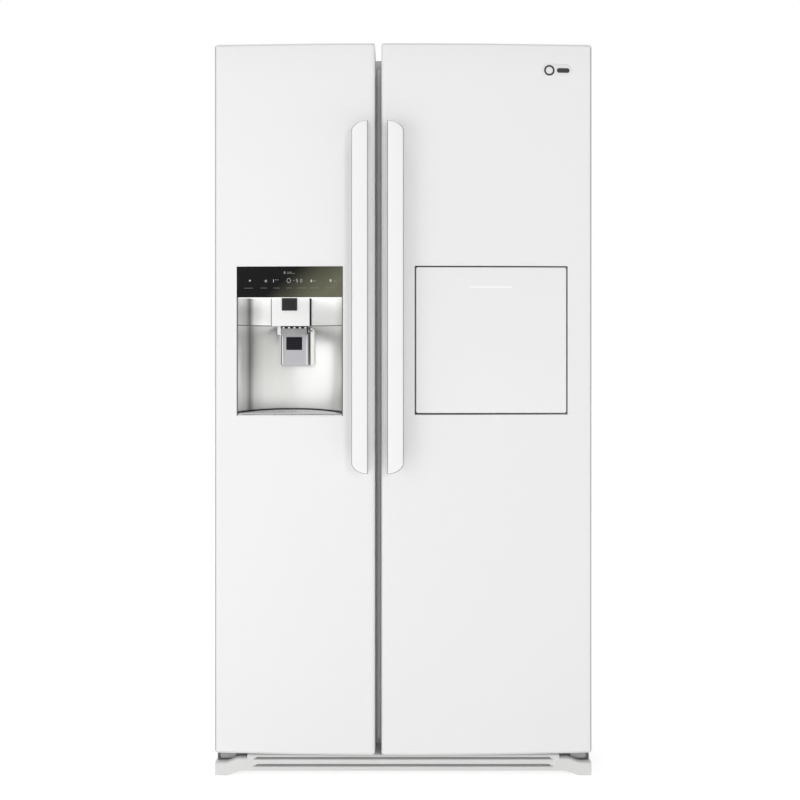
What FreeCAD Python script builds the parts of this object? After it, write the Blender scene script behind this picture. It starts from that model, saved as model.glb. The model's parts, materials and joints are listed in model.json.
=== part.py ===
"""Side by side refrigerator, freezer on the left, with an ice dispenser and a fold-down home bar.

Frame: +Z up, the doors face -Y, +X is to the right, and the origin is on the floor under the middle of the
bounding box. All sizes are millimetres, and every driving size is a cell of the sheet Sizes.
"""
import FreeCAD, Part
import math
import os
import re

import Sketcher
from FreeCAD import Placement, Rotation, Vector

SIZES = {
    # cabinet
    "half_width": 447,
    "cab_front": -240.5,
    "cab_back": 384.5,
    "cab_low": 40,
    "cab_high": 1720,
    "sheet": 1,
    "floor_sheet": 2,
    "liner_wall": 2,
    "cold_low": 105,
    "cold_high": 1668,
    "cold_back": 324,
    "freezer_left": -397,
    "freezer_right": -93,
    "fridge_left": -25,
    "fridge_right": 397,
    "step_high": 345,
    "step_back": 123,
    "room_front": 168,
    "room_high": 300,
    "spare": 1,
    # doors
    "door_low": 58,
    "door_high": 1734,
    "door_back": -252.5,
    "door_apex": -340.5,
    "door_sag": 16,
    "freezer_door_left": -447,
    "freezer_door_right": -66.5,
    "fridge_door_left": -51.5,
    "fridge_door_right": 447,
    "cap_plate": 3,
    "skin_gap": 0.3,
    "edge_round": 9,
    "dike_front": -227.5,
    "dike_wall": 12,
    "dike_inset": 74,
    "dike_free_inset": 50,
    "gasket_back": -240.9,
    "gasket_hinge_inset": 22,
    "gasket_free_inset": 4.5,
    "gasket_width": 20,
    # door hinges
    "hinge_x": 425,
    "hinge_y": -282.5,
    "pin_radius": 5,
    "bush_radius": 9,
    "bush_length": 20,
    "running": 0.05,
    "plate_low": 44,
    "plate_thick": 6,
    "arm_low": 1735.5,
    "arm_thick": 4,
    "cover_high": 1753,
    "cover_wall": 1.5,
    "cover_front": -299,
    "cover_nose": 1742,
    "cover_rise": -260,
    "cover_step": -238,
    "cover_back": -130,
    "cover_left": -445,
    "cover_wide": 60,
    # handles
    "freezer_handle_left": -119,
    "freezer_handle_right": -83,
    "fridge_handle_left": -36,
    "fridge_handle_right": 0,
    "handle_low": 725,
    "handle_high": 1543,
    "handle_front": -384.5,
    "handle_thick": 17,
    "handle_foot": 70,
    "handle_corner": 22,
    "handle_round": 6,
    # dispenser
    "disp_left": -394,
    "disp_right": -142,
    "disp_low": 856,
    "disp_high": 1209,
    "disp_middle": -268,
    "disp_back": -262,
    "disp_wall": 3,
    "scoop_radius": 156,
    "scoop_back": -265,
    "scoop_high": 1136,
    "panel_low": 1136,
    "panel_back": -324.5,
    "hood_left": -313,
    "hood_right": -219,
    "hood_front": -322,
    "hood_back": -274,
    "hood_low": 1066,
    "hood_high": 1134,
    "chute_left": -300,
    "chute_right": -232,
    "chute_low": 1080,
    "chute_high": 1145,
    "chute_inner_end": -200,
    "chute_front": -312,
    "spout_back": -294,
    "spout_low": 1048,
    "flap_z": 1074,
    "flap_pin": 1.5,
    "lever_left": -292,
    "lever_right": -226,
    "lever_y": -285,
    "lever_z": 1058,
    "lever_low": 974,
    "lever_pin": 2.5,
    "lever_barrel": 5,
    "lever_window_low": 1006,
    "lever_window_high": 1042,
    "tray_front": -329,
    "tray_slot_front": -316,
    "tray_slot_back": -296,
    "tray_low": 860.3,
    "tray_high": 868,
    # home bar
    "bar_left": 30,
    "bar_right": 386,
    "bar_low": 863,
    "bar_high": 1207,
    "bar_gap": 3,
    "bar_low_gap": 4,
    "bar_back": -314,
    "bar_wall": 3,
    "ledge_y": -311,
    "case_left": 44,
    "case_right": 375,
    "case_low": 873,
    "case_high": 1194,
    "plug_left": 62,
    "plug_right": 362,
    "plug_low": 879,
    "plug_high": 1184,
    "plug_back": -274,
    "bar_axis_depth": 6,
    "bar_axis_rise": 6,
    "bar_pin": 2.5,
    "stay_inner": 144,
    "stay_outer": 152,
    "stay_thick": 3,
    "stay_start": 10,
    "stay_sweep": 76,
    # door bins
    "bin_back": -155,
    "bin_tall": 90,
    "bin_wall": 3,
    "fridge_bin_left": 7,
    "fridge_bin_right": 371,
    "lid_y": -150,
    "lid_z": 1566,
    "lid_pin": 2,
    # inside the compartments
    "shelf_front": -120,
    "shelf_back": 300,
    "shelf_thick": 5,
    "drawer_front": -100,
    "drawer_wall": 3,
    "drawer_side_gap": 5,
    "bucket_front": -185,
    "bucket_back": 200,
    "bucket_low": 1062,
    "bucket_high": 1320,
    "maker_left": -380,
    "maker_right": -130,
    "maker_front": 60,
    "maker_back": 180,
    "maker_low": 1380,
    "maker_high": 1460,
    "frost_cover_front": 302,
    "frost_cover_thick": 3,
    "frost_cover_high": 1430,
    "frost_y": 315,
    "lamp_half": 40,
    "lamp_front": -60,
    "lamp_back": 0,
    "lamp_tall": 14,
    # machine room
    "dome_x": 250,
    "dome_y": 275,
    "fan_y": 250,
    "fan_z": 150,
    "fan_x": -107,
    "fan_hole": 52,
    "fan_shaft": 3,
    "shroud_left": -100,
    "motor_left": -165,
    "vent_left": -280,
    "vent_wide": 6,
    "vent_low": 90,
    "vent_high": 250,
    "vent_span": 600,
    "valve_x": -330,
    "valve_z": 200,
    "valve_half": 20,
    "valve_bore": 4,
    "thread_radius": 13.2,
    # underside
    "rail_left": 400,
    "rail_right": 440,
    "rail_low": 10,
    "rail_front": -228,
    "rail_back": 370,
    "roller_radius": 18,
    "roller_y": 330,
    "axle_radius": 4,
    "leg_x": 420,
    "leg_y": -205,
    "leg_pad": 19,
    "leg_stud": 5,
    "pad_high": 9,
    # base cover
    "kick_front": -322,
    "kick_back": -244,
    "kick_low": 14,
    "kick_high": 52,
    "kick_end_high": 34,
    "kick_end_rise": 44,
    "slot_inset": 17,
    "slot_first": 24,
    "slot_second": 41,
    "slot_tall": 5.5,
    "kick_foot": 3,
    "kick_left": -447,
    "kick_step": -372,
    "kick_step_in": -368,
    "kick_foot_end": -405,
    "kick_wall": 3,
}
BIN_LEVELS = {"freezer": (380, 620, 1370, 1530), "fridge": (200, 420, 640, 1280, 1456)}
SHELF_LEVELS = {"freezer": (345, 560, 780, 1500), "fridge": (345, 560, 780, 1000, 1220, 1440)}
ARC_RADIUS = "(half_width * half_width + door_sag * door_sag) / (2 * door_sag)"

doc = FreeCAD.newDocument("Refrigerator")
sheet = doc.addObject("Spreadsheet::Sheet", "Sizes")
for row, (alias, size) in enumerate(SIZES.items(), start=1):
    sheet.set(f"A{row}", alias)
    sheet.set(f"B{row}", str(size))
    sheet.setAlias(f"B{row}", alias)
doc.recompute()
WORD = re.compile(r"\b(" + "|".join(sorted(SIZES, key=len, reverse=True)) + r")\b")
sub_parts = []


# ---------------------------------------------------------------- building blocks
def bind(obj, target, expression):
    """Drive one property of an object from the sheet; a bare alias stands for its cell."""
    obj.setExpression(target, WORD.sub(r"Sizes.\1", str(expression)))


def sub_part(label, obj):
    """Give a finished piece its own label, which names its file."""
    obj.Label = label
    sub_parts.append(obj)
    return obj


def block(name, x, y, z):
    """A box between pairs of low and high faces."""
    box = doc.addObject("Part::Box", name)
    for side, base, (low, high) in (("Length", "x", x), ("Width", "y", y), ("Height", "z", z)):
        bind(box, side, f"({high}) - ({low})")
        bind(box, f"Placement.Base.{base}", low)
    return box


TURNS = {
    "x": Rotation(Vector(0, 1, 0), 90),
    "y": Rotation(Vector(1, 0, 0), -90),
    "z": Rotation(),
}


def rod(name, radius, length, at, along="z"):
    """A cylinder that starts at a point and runs along +X, +Y or +Z."""
    cylinder = doc.addObject("Part::Cylinder", name)
    cylinder.Placement = Placement(Vector(), TURNS[along])
    bind(cylinder, "Radius", radius)
    bind(cylinder, "Height", length)
    for base, place in zip("xyz", at):
        bind(cylinder, f"Placement.Base.{base}", place)
    return cylinder


def cut(name, base, *tools):
    result = doc.addObject("Part::Cut", name)
    result.Base = base
    result.Tool = tools[0] if len(tools) == 1 else fuse(f"{name}_tools", *tools)
    return result


def fuse(name, *shapes):
    result = doc.addObject("Part::MultiFuse", name)
    result.Shapes = list(shapes)
    return result


def common(name, *shapes):
    result = doc.addObject("Part::MultiCommon", name)
    result.Shapes = list(shapes)
    return result


def group(name, *shapes):
    """Several separate solids that share one sub-part."""
    result = doc.addObject("Part::Compound", name)
    result.Links = list(shapes)
    return result


def mirrored(name, source):
    """The same piece on the other side of the X = 0 plane."""
    result = doc.addObject("Part::Mirroring", name)
    result.Source = source
    result.Normal = Vector(1, 0, 0)
    return result


def rounded(name, base, radius, wanted):
    """Round the edges of a shape that a test picks."""
    doc.recompute()
    result = doc.addObject("Part::Fillet", name)
    result.Base = base
    result.Edges = [(i, radius, radius) for i, edge in enumerate(base.Shape.Edges, start=1) if wanted(edge)]
    return result


def runs_along(edge, axis):
    """True for a straight edge parallel to one axis."""
    box = edge.BoundBox
    spans = {"x": box.XLength, "y": box.YLength, "z": box.ZLength}
    others = [span for name, span in spans.items() if name != axis]
    return spans[axis] > 0.1 and max(others) < 0.01


def profile(body, name, role, points):
    """A closed outline of straight lines whose corners are all driven from the sheet."""
    plane = [feature for feature in body.Origin.OriginFeatures if feature.Role == role][0]
    sketch = body.newObject("Sketcher::SketchObject", name)
    sketch.AttachmentSupport = [(plane, "")]
    sketch.MapMode = "FlatFace"
    count = len(points)
    turn = 2 * math.pi / count
    start = [Vector(100 * math.cos(i * turn), 100 * math.sin(i * turn), 0) for i in range(count)]
    for i in range(count):
        sketch.addGeometry(Part.LineSegment(start[i], start[(i + 1) % count]))
    for i in range(count):
        sketch.addConstraint(Sketcher.Constraint("Coincident", i, 2, (i + 1) % count, 1))
    for i, corner in enumerate(points):
        for kind, place, value in zip(("DistanceX", "DistanceY"), corner, start[i]):
            index = sketch.addConstraint(Sketcher.Constraint(kind, -1, 1, i, 1, value))
            bind(sketch, f"Constraints[{index}]", place)
    return sketch


def pad(name, role, points, length, offset=None):
    """A PartDesign body: an outline on an origin plane, padded, then shifted along the plane's normal."""
    body = doc.addObject("PartDesign::Body", name)
    sketch = profile(body, f"{name}_outline", role, points)
    feature = body.newObject("PartDesign::Pad", f"{name}_pad")
    feature.Profile = sketch
    bind(feature, "Length", length)
    if offset:
        bind(body, f"Placement.Base.{offset[0]}", offset[1])
    return body


def turned(name, points, at, along="z"):
    """A PartDesign body of revolution: (radius, height) corners turned about its own Z axis."""
    body = doc.addObject("PartDesign::Body", name)
    sketch = profile(body, f"{name}_outline", "XZ_Plane", points)
    axis = [feature for feature in body.Origin.OriginFeatures if feature.Role == "Z_Axis"][0]
    feature = body.newObject("PartDesign::Revolution", f"{name}_turn")
    feature.Profile = sketch
    feature.ReferenceAxis = (axis, [""])
    feature.Angle = 360
    body.Placement = Placement(Vector(), TURNS[along])
    for base, place in zip("xyz", at):
        bind(body, f"Placement.Base.{base}", place)
    return body


# ---------------------------------------------------------------- cabinet
def cavity(name, side, grow, front):
    """The space of one compartment, with the step over the machine room at its bottom rear."""
    x = (f"{side}_left - {grow}", f"{side}_right + {grow}")
    lower = block(f"{name}_lower", x, (front, f"step_back + {grow}"),
                  (f"cold_low - {grow}", "step_high + spare"))
    upper = block(f"{name}_upper", x, (front, f"cold_back + {grow}"),
                  (f"step_high - {grow}", f"cold_high + {grow}"))
    return fuse(name, lower, upper)


def cabinet():
    inner_x = ("sheet - half_width", "half_width - sheet")
    side = block("side_left", ("-half_width", "sheet - half_width"), ("cab_front", "cab_back"),
                 ("cab_low", "cab_high"))
    top = block("top", inner_x, ("cab_front", "cab_back"), ("cab_high - sheet", "cab_high"))
    sub_part("cabinet_panels", group("panel_set", side, mirrored("side_right", side), top))
    face = block("face", inner_x, ("cab_front", "cab_front + sheet"), ("cab_low", "cab_high - sheet"))
    holes = [
        block(f"{side}_mouth", (f"{side}_left", f"{side}_right"),
              ("cab_front - spare", "cab_front + 2 * sheet"),
              ("cold_low", "cold_high"))
        for side in ("freezer", "fridge")
    ]
    sub_part("front_frame", cut("face_frame", face, *holes))
    foam = block("foam", inner_x, ("cab_front + sheet", "cab_back - sheet"),
                 ("cab_low + floor_sheet", "cab_high - sheet"))
    room = block("machine_room", ("-half_width", "half_width"), ("room_front", "cab_back + spare"),
                 ("cab_low", "room_high"))
    outer = [cavity(f"{side}_pocket", side, "liner_wall", "cab_front") for side in ("freezer", "fridge")]
    sub_part("insulation_foam", cut("foam_body", foam, room, *outer))
    for side in ("freezer", "fridge"):
        shell = cavity(f"{side}_shell", side, "liner_wall", "cab_front + sheet")
        space = cavity(f"{side}_space", side, "0", "cab_front")
        sub_part(f"{side}_liner", cut(f"{side}_tub", shell, space))
    sub_part("back_panel",
             block("back", inner_x, ("cab_back - sheet", "cab_back"), ("room_high", "cab_high - sheet")))
    sub_part("base_plate", block("base", inner_x, ("cab_front + sheet", "cab_back - 4"),
                                 ("cab_low", "cab_low + floor_sheet")))


def underside():
    """Side rails with the roller axles and the leg nuts, two levelling legs and two rear rollers."""
    wall = "floor_sheet"
    outer = block("rail_outer", ("rail_left", "rail_right"), ("rail_front", "rail_back"),
                  ("rail_low", "cab_low"))
    inner = block("rail_inner", (f"rail_left + {wall}", f"rail_right - {wall}"),
                  (f"rail_front + {wall}", "rail_back + spare"),
                  ("rail_low - spare", f"cab_low - {wall}"))
    axle = rod("axle", "axle_radius", "rail_right - rail_left", ("rail_left", "roller_y", "roller_radius"),
               "x")
    nut = cut("leg_nut", rod("nut_body", "2 * leg_stud", "18", ("leg_x", "leg_y", "20")),
              rod("nut_bore", "leg_stud + running", "17", ("leg_x", "leg_y", "19")))
    rail = fuse("rail", cut("rail_channel", outer, inner), axle, nut)
    sub_part("base_rails", group("rail_pair", rail, mirrored("rail_mirror", rail)))
    for side, sign in (("left", "-"), ("right", "")):
        leg = turned(f"leg_{side}", [
            ("0", "0"), ("leg_pad", "0"), ("leg_pad", "pad_high - 3"), ("leg_pad - 4", "pad_high"),
            ("leg_stud", "pad_high"), ("leg_stud", "35"), ("0", "35"),
        ], (f"{sign}leg_x", "leg_y", "0"))
        sub_part(f"levelling_leg_{side}", leg)
        roller = turned(f"roller_{side}_wheel", [
            ("axle_radius + running", "0"), ("roller_radius - 2", "0"), ("roller_radius", "2"),
            ("roller_radius", "20"), ("roller_radius - 2", "22"), ("axle_radius + running", "22"),
        ], (f"{sign}leg_x - 11", "roller_y", "roller_radius"), "x")
        sub_part(f"rear_roller_{side}", roller)


def fan_blade(i):
    """One of five flat blades, set at a slant round the fan's hub."""
    thick, wide, root, reach = 2, 22, 8, 38
    blade = doc.addObject("Part::Box", f"blade_{i}")
    blade.Length, blade.Width, blade.Height = thick, wide, reach
    centre = Vector(*(SIZES[cell] for cell in ("fan_x", "fan_y", "fan_z")))
    spoke = Placement(centre, Rotation(Vector(1, 0, 0), 72 * i))
    slant = Placement(Vector(), Rotation(Vector(0, 0, 1), 35))
    blade.Placement = spoke.multiply(slant).multiply(Placement(Vector(-thick / 2, -wide / 2, root),
                                                               Rotation()))
    return blade


def machine_room():
    """Compressor, condenser with its fan, the rear cover, the water valve and the mains inlet."""
    dome = turned("dome", [
        ("0", "60"), ("70", "60"), ("78", "72"), ("78", "150"), ("66", "186"), ("40", "204"), ("0", "210"),
    ], ("dome_x", "dome_y", "0"))
    feet = block("compressor_feet", ("dome_x - 70", "dome_x + 70"), ("dome_y - 55", "dome_y + 55"),
                 ("cab_low + floor_sheet", "62"))
    sub_part("compressor", fuse("compressor_body", dome, feet))
    plates = [block(f"fin_{i}", (f"-60 + {i} * 22", f"-59 + {i} * 22"), ("fan_y - 50", "fan_y + 50"),
                    ("60", "240"))
              for i in range(9)]
    tubes = [rod(f"tube_{j}", "5", "200", ("-72", f"fan_y + 25 * {j % 2 * 2 - 1}", f"80 + {j} * 35"), "x")
             for j in range(5)]
    foot = block("condenser_foot", ("-60", "117"), ("fan_y - 10", "fan_y + 10"),
                 ("cab_low + floor_sheet", "61"))
    sub_part("condenser", fuse("condenser_coil", foot, *plates, *tubes))
    plate = block("shroud_plate", ("shroud_left", "shroud_left + 3"), ("fan_y - 60", "fan_y + 60"),
                  ("cab_low + floor_sheet", "250"))
    hole = rod("shroud_hole", "fan_hole", "5", ("shroud_left - spare", "fan_y", "fan_z"), "x")
    motor = rod("fan_motor", "20", "40", ("motor_left", "fan_y", "fan_z"), "x")
    shaft = rod("fan_shaft_rod", "fan_shaft", "30", ("motor_left + 39", "fan_y", "fan_z"), "x")
    arms = [block(f"motor_arm_{i}", ("motor_left", "motor_left + 5"),
                  (f"fan_y + {low}", f"fan_y + {low + 45}"),
                  ("fan_z - 5", "fan_z + 5")) for i, low in enumerate((-60, 15))]
    posts = [block(f"motor_post_{i}", ("motor_left", "shroud_left + 3"),
                   (f"fan_y + {low}", f"fan_y + {low + 5}"),
                   ("fan_z - 5", "fan_z + 5")) for i, low in enumerate((-60, 55))]
    sub_part("fan_shroud", fuse("fan_mount", cut("shroud", plate, hole), motor, shaft, *arms, *posts))
    hub = rod("fan_hub", "10", "16", ("fan_x - 8", "fan_y", "fan_z"), "x")
    blades = [fan_blade(i) for i in range(5)]
    bore = rod("fan_bore", "fan_shaft + running", "20", ("fan_x - 10", "fan_y", "fan_z"), "x")
    sub_part("condenser_fan", cut("fan_wheel", fuse("fan_blades", hub, *blades), bore))

    cover = doc.addObject("PartDesign::Body", "rear_cover")
    sketch = profile(cover, "rear_outline", "XZ_Plane", [
        ("4 - half_width", "cab_low + 6"), ("half_width - 4", "cab_low + 6"),
        ("half_width - 4", "room_high - 1"), ("4 - half_width", "room_high - 1"),
    ])
    plate_pad = cover.newObject("PartDesign::Pad", "rear_pad")
    plate_pad.Profile = sketch
    bind(plate_pad, "Length", "3")
    doc.recompute()
    vent = profile(cover, "vent_outline", "XZ_Plane", [
        ("vent_left", "vent_low"), ("vent_left + vent_wide", "vent_low"),
        ("vent_left + vent_wide", "vent_high"), ("vent_left", "vent_high"),
    ])
    pocket = cover.newObject("PartDesign::Pocket", "vent_pocket")
    pocket.Profile = vent
    pocket.Type = "ThroughAll"
    pocket.Midplane = True
    doc.recompute()
    row = cover.newObject("PartDesign::LinearPattern", "vent_row")
    row.Originals = [pocket]
    row.Direction = (vent, ["H_Axis"])
    bind(row, "Length", "vent_span")
    row.Occurrences = 31
    cover.Tip = row
    bind(cover, "Placement.Base.y", "cab_back")
    opening = rod("valve_opening", "valve_half", "10", ("valve_x", "cab_back - 5", "valve_z"), "y")
    sub_part("machine_room_cover", cut("vented_cover", cover, opening))

    thread = cut("inlet_bore",
                 rod("inlet_thread", "thread_radius", "24", ("valve_x", "cab_back - 24", "valve_z"), "y"),
                 rod("inlet_hole", "valve_bore", "60", ("valve_x", "cab_back - 50", "valve_z"), "y"))
    valve_wide = ("valve_x - valve_half", "valve_x + valve_half")
    valve = block("valve_body", valve_wide, ("cab_back - 60", "cab_back - 24"),
                  ("valve_z - valve_half", "valve_z + valve_half"))
    valve_base = block("valve_base", valve_wide, ("cab_back - 60", "cab_back - 30"),
                       ("cab_low + floor_sheet", "valve_z - valve_half + spare"))
    hole = rod("valve_hole", "valve_bore", "30", ("valve_x", "cab_back - 40", "valve_z"), "y")
    sub_part("water_valve", cut("valve", fuse("valve_set", thread, valve, valve_base), hole))
    sub_part("mains_inlet",
             block("mains_inlet_body", ("370", "410"), ("cab_back - 40", "cab_back - 3.2"), ("70", "98")))


def drawer(label, x, y, z):
    wall = "drawer_wall"
    outer = block(f"{label}_outer", x, y, z)
    inner = block(f"{label}_inner", (f"{x[0]} + {wall}", f"{x[1]} - {wall}"),
                  (f"{y[0]} + 2 * {wall}", f"{y[1]} - {wall}"),
                  (f"{z[0]} + {wall}", f"{z[1]} + spare"))
    grip = block(f"{label}_grip", (f"({x[0]} + {x[1]}) / 2 - 60", f"({x[0]} + {x[1]}) / 2 + 60"),
                 (f"{y[0]} - spare", f"{y[0]} + 3 * {wall}"), (f"{z[1]} - 22", f"{z[1]} + spare"))
    sub_part(label, cut(f"{label}_box", outer, inner, grip))


def inside():
    """Shelves, drawers, the ice maker with its bucket, the evaporator and the lamps."""
    for side, levels in SHELF_LEVELS.items():
        shelves = [
            block(f"{side}_shelf_{i}", (f"{side}_left", f"{side}_right"), ("shelf_front", "shelf_back"),
                  (str(level), f"{level} + shelf_thick"))
            for i, level in enumerate(levels)
        ]
        sub_part(f"{side}_shelves", group(f"{side}_shelf_set", *shelves))
    gap = "drawer_side_gap"
    drawer("freezer_drawer", (f"freezer_left + {gap}", f"freezer_right - {gap}"),
           ("drawer_front", "step_back - 5"),
           ("cold_low + 0.5", "330"))
    drawer("crisper_lower", (f"fridge_left + {gap}", f"fridge_right - {gap}"),
           ("drawer_front", "step_back - 5"),
           ("cold_low + 0.5", "330"))
    drawer("crisper_upper", (f"fridge_left + {gap}", f"fridge_right - {gap}"),
           ("drawer_front", "shelf_back - 5"),
           ("345 + shelf_thick + 0.5", "545"))
    wall = "drawer_wall"
    bucket = block("bucket_outer", (f"freezer_left + {gap}", f"freezer_right - {gap}"),
                   ("bucket_front", "bucket_back"), ("bucket_low", "bucket_high"))
    hollow = block("bucket_inner", (f"freezer_left + {gap} + {wall}", f"freezer_right - {gap} - {wall}"),
                   (f"bucket_front + {wall}", f"bucket_back - {wall}"),
                   (f"bucket_low + {wall}", "bucket_high + spare"))
    outlet = block("bucket_outlet", (f"chute_left + {wall}", f"chute_right - {wall}"),
                   ("bucket_front - spare", f"bucket_front + {wall} + spare"),
                   (f"chute_low + {wall}", f"chute_high - {wall}"))
    sub_part("ice_bucket", cut("bucket", bucket, hollow, outlet))
    maker = block("maker_outer", ("maker_left", "maker_right"), ("maker_front", "maker_back"),
                  ("maker_low", "maker_high"))
    mould = [block(f"mould_{i}", (f"maker_left + {8 + i * 30}", f"maker_left + {32 + i * 30}"),
                   ("maker_front + 10", "maker_front + 70"), ("maker_high - 30", "maker_high + spare"))
             for i in range(8)]
    bracket = block("maker_bracket", ("maker_left + 10", "maker_right - 10"),
                    ("maker_back - spare", "cold_back"),
                    ("maker_high - 20", "maker_high - 14"))
    sub_part("ice_maker", fuse("maker", cut("maker_tray", maker, *mould), bracket))
    fins = [block(f"frost_fin_{i}", (f"-370 + {i} * 16", f"-369 + {i} * 16"), ("frost_y - 7", "frost_y + 7"),
                  ("600", "1000")) for i in range(16)]
    coils = [rod(f"frost_tube_{i}", "4", "250", ("-375", "frost_y", f"620 + {i} * 60"),
                 "x") for i in range(7)]
    sub_part("evaporator", fuse("evaporator_coil", *fins, *coils))
    sub_part("evaporator_cover", block("frost_cover", ("freezer_left", "freezer_right"), (
        "frost_cover_front", "frost_cover_front + frost_cover_thick"), ("step_high", "frost_cover_high")))
    lamps = [block(f"{side}_lamp",
                   (f"({side}_left + {side}_right) / 2 - lamp_half",
                    f"({side}_left + {side}_right) / 2 + lamp_half"),
                   ("lamp_front", "lamp_back"),
                   ("cold_high - lamp_tall", "cold_high")) for side in ("freezer", "fridge")]
    sub_part("compartment_lamps", group("lamp_pair", *lamps))


# ---------------------------------------------------------------- door hinges and base cover
def cover_outline(inset):
    """Side outline of a hinge cover: low over the door, rising to its full height over the cabinet."""
    skirt = "cab_high" if inset == "0" else "cab_high - spare"
    over_door = "door_high + 1.3" if inset == "0" else "door_high"
    return [
        (f"cover_front + {inset}", over_door), (f"cover_front + {inset}", f"cover_nose - {inset}"),
        (f"cover_rise + {inset}", f"cover_high - {inset}"),
            (f"cover_back - 10 - {inset}", f"cover_high - {inset}"),
        (f"cover_back - {inset}", f"cover_high - 10 - {inset}"), (f"cover_back - {inset}", skirt),
        (f"cover_step + {inset}", skirt), (f"cover_step + {inset}", over_door),
    ]


def hinges():
    """Bolted brackets with the pins that the doors turn on, one pair below and one above."""
    pin_at = ("-hinge_x", "hinge_y")
    plate = block("lower_plate", ("-444", "-376"), ("hinge_y - 22", "cab_front"),
                  ("plate_low", "plate_low + plate_thick"))
    flange = block("lower_flange", ("-444", "-376"), ("cab_front - 4", "cab_front"),
                   ("plate_low", "door_low - 2"))
    pin = rod("lower_pin", "pin_radius", "24", (*pin_at, "plate_low + plate_thick"))
    collar = rod("lower_collar", "bush_radius", "door_low - plate_low - plate_thick - 0.5",
                 (*pin_at, "plate_low + plate_thick"))
    lower = fuse("lower_hinge_body", plate, flange, pin, collar)
    sub_part("lower_hinges", group("lower_hinge_pair", lower, mirrored("lower_hinge_mirror", lower)))
    arm = block("upper_arm", ("-442", "-398"), ("hinge_y - 14", "-218"), ("arm_low", "arm_low + arm_thick"))
    riser = block("upper_riser", ("-442", "-398"), ("-222", "-216"), ("cab_high", "arm_low + arm_thick"))
    foot = block("upper_foot", ("-442", "-398"), ("-222", "-150"), ("cab_high", "cab_high + 5"))
    top_pin = rod("upper_pin", "pin_radius", "26", (*pin_at, "arm_low - 24"))
    heads = [rod(f"upper_bolt_{i}", "6", "9", (x, y, "cab_high + 1"))
             for i, (x, y) in enumerate((("-432", "-195"), ("-408", "-195"), ("-420", "-168")))]
    upper = fuse("upper_hinge_body", arm, riser, foot, top_pin, *heads)
    sub_part("upper_hinges", group("upper_hinge_pair", upper, mirrored("upper_hinge_mirror", upper)))
    outer = pad("cover_outer", "YZ_Plane", cover_outline("0"), "cover_wide", ("x", "cover_left"))
    inner = pad("cover_inner", "YZ_Plane", cover_outline("cover_wall"), "cover_wide - 2 * cover_wall",
                ("x", "cover_left + cover_wall"))
    shell = rounded("cover_rounded", outer, 4,
                    lambda edge: runs_along(edge, "z") and edge.BoundBox.YMin > SIZES["cover_back"] - 0.1)
    cover = cut("hinge_cover_left", shell, inner)
    sub_part("hinge_covers", group("hinge_cover_pair", cover, mirrored("hinge_cover_right", cover)))


def kick_outline(inset, foot, low):
    """Front outline of the base cover: blocks with low feet at both ends, a raised middle between them."""
    half = [(f"kick_foot_end + {inset}", foot), (f"kick_step + {inset}", low)]
    top = [(f"kick_step_in + {inset}", f"kick_high - {inset}"),
           (f"kick_step + {inset}", f"kick_end_rise - {inset}"),
           (f"kick_left + {inset}", f"kick_end_high - {inset}"), (f"kick_left + {inset}", foot)]
    left = half[::-1]
    right = [(f"-({x})", z) for x, z in top[::-1]]
    return left[::-1] + [(f"-({x})", z) for x, z in left] + right + top


def base_cover():
    """Kick plate under the doors: high in the middle, lower at both ends, with two long air slots."""
    outer = pad("kick_outer", "XZ_Plane", kick_outline("0", "kick_foot", "kick_low"),
                "kick_back - kick_front",
                ("y", "kick_back"))
    inner = pad("kick_inner", "XZ_Plane", kick_outline("kick_wall", "kick_foot - 9", "kick_low - 9"),
                "kick_back - kick_front - kick_wall", ("y", "kick_back + spare"))
    slots = [block(f"kick_slot_{i}", ("kick_step_in + slot_inset", "-kick_step_in - slot_inset"),
                   ("kick_front - spare", "kick_front + 10"), (low, f"{low} + slot_tall"))
             for i, low in enumerate(("slot_first", "slot_second"))]
    shell = cut("kick_shell", outer, inner, *slots)
    face = rounded("kick_rounded", shell, 2.5, lambda edge: runs_along(edge, "x")
                   and edge.BoundBox.YMax < SIZES["kick_front"] + 0.1 and edge.BoundBox.ZMax > 51)
    sub_part("base_cover", face)


# ---------------------------------------------------------------- doors
def door_slab(name, x, inset, back, z, round_by=0):
    """A slab whose front follows the long arc over both doors, set in from the skin by inset."""
    slab = block(f"{name}_slab", x, ("door_apex - 5", back), z)
    arc = rod(f"{name}_arc", f"{ARC_RADIUS} - ({inset})", f"({z[1]}) - ({z[0]})",
              ("0", f"door_apex + {ARC_RADIUS}", z[0]))
    front = common(f"{name}_front", slab, arc)
    if not round_by:
        return front
    return rounded(f"{name}_rounded", front, round_by,
                   lambda edge: runs_along(edge, "z") and edge.BoundBox.YMax < SIZES["door_back"] - 30)


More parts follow.
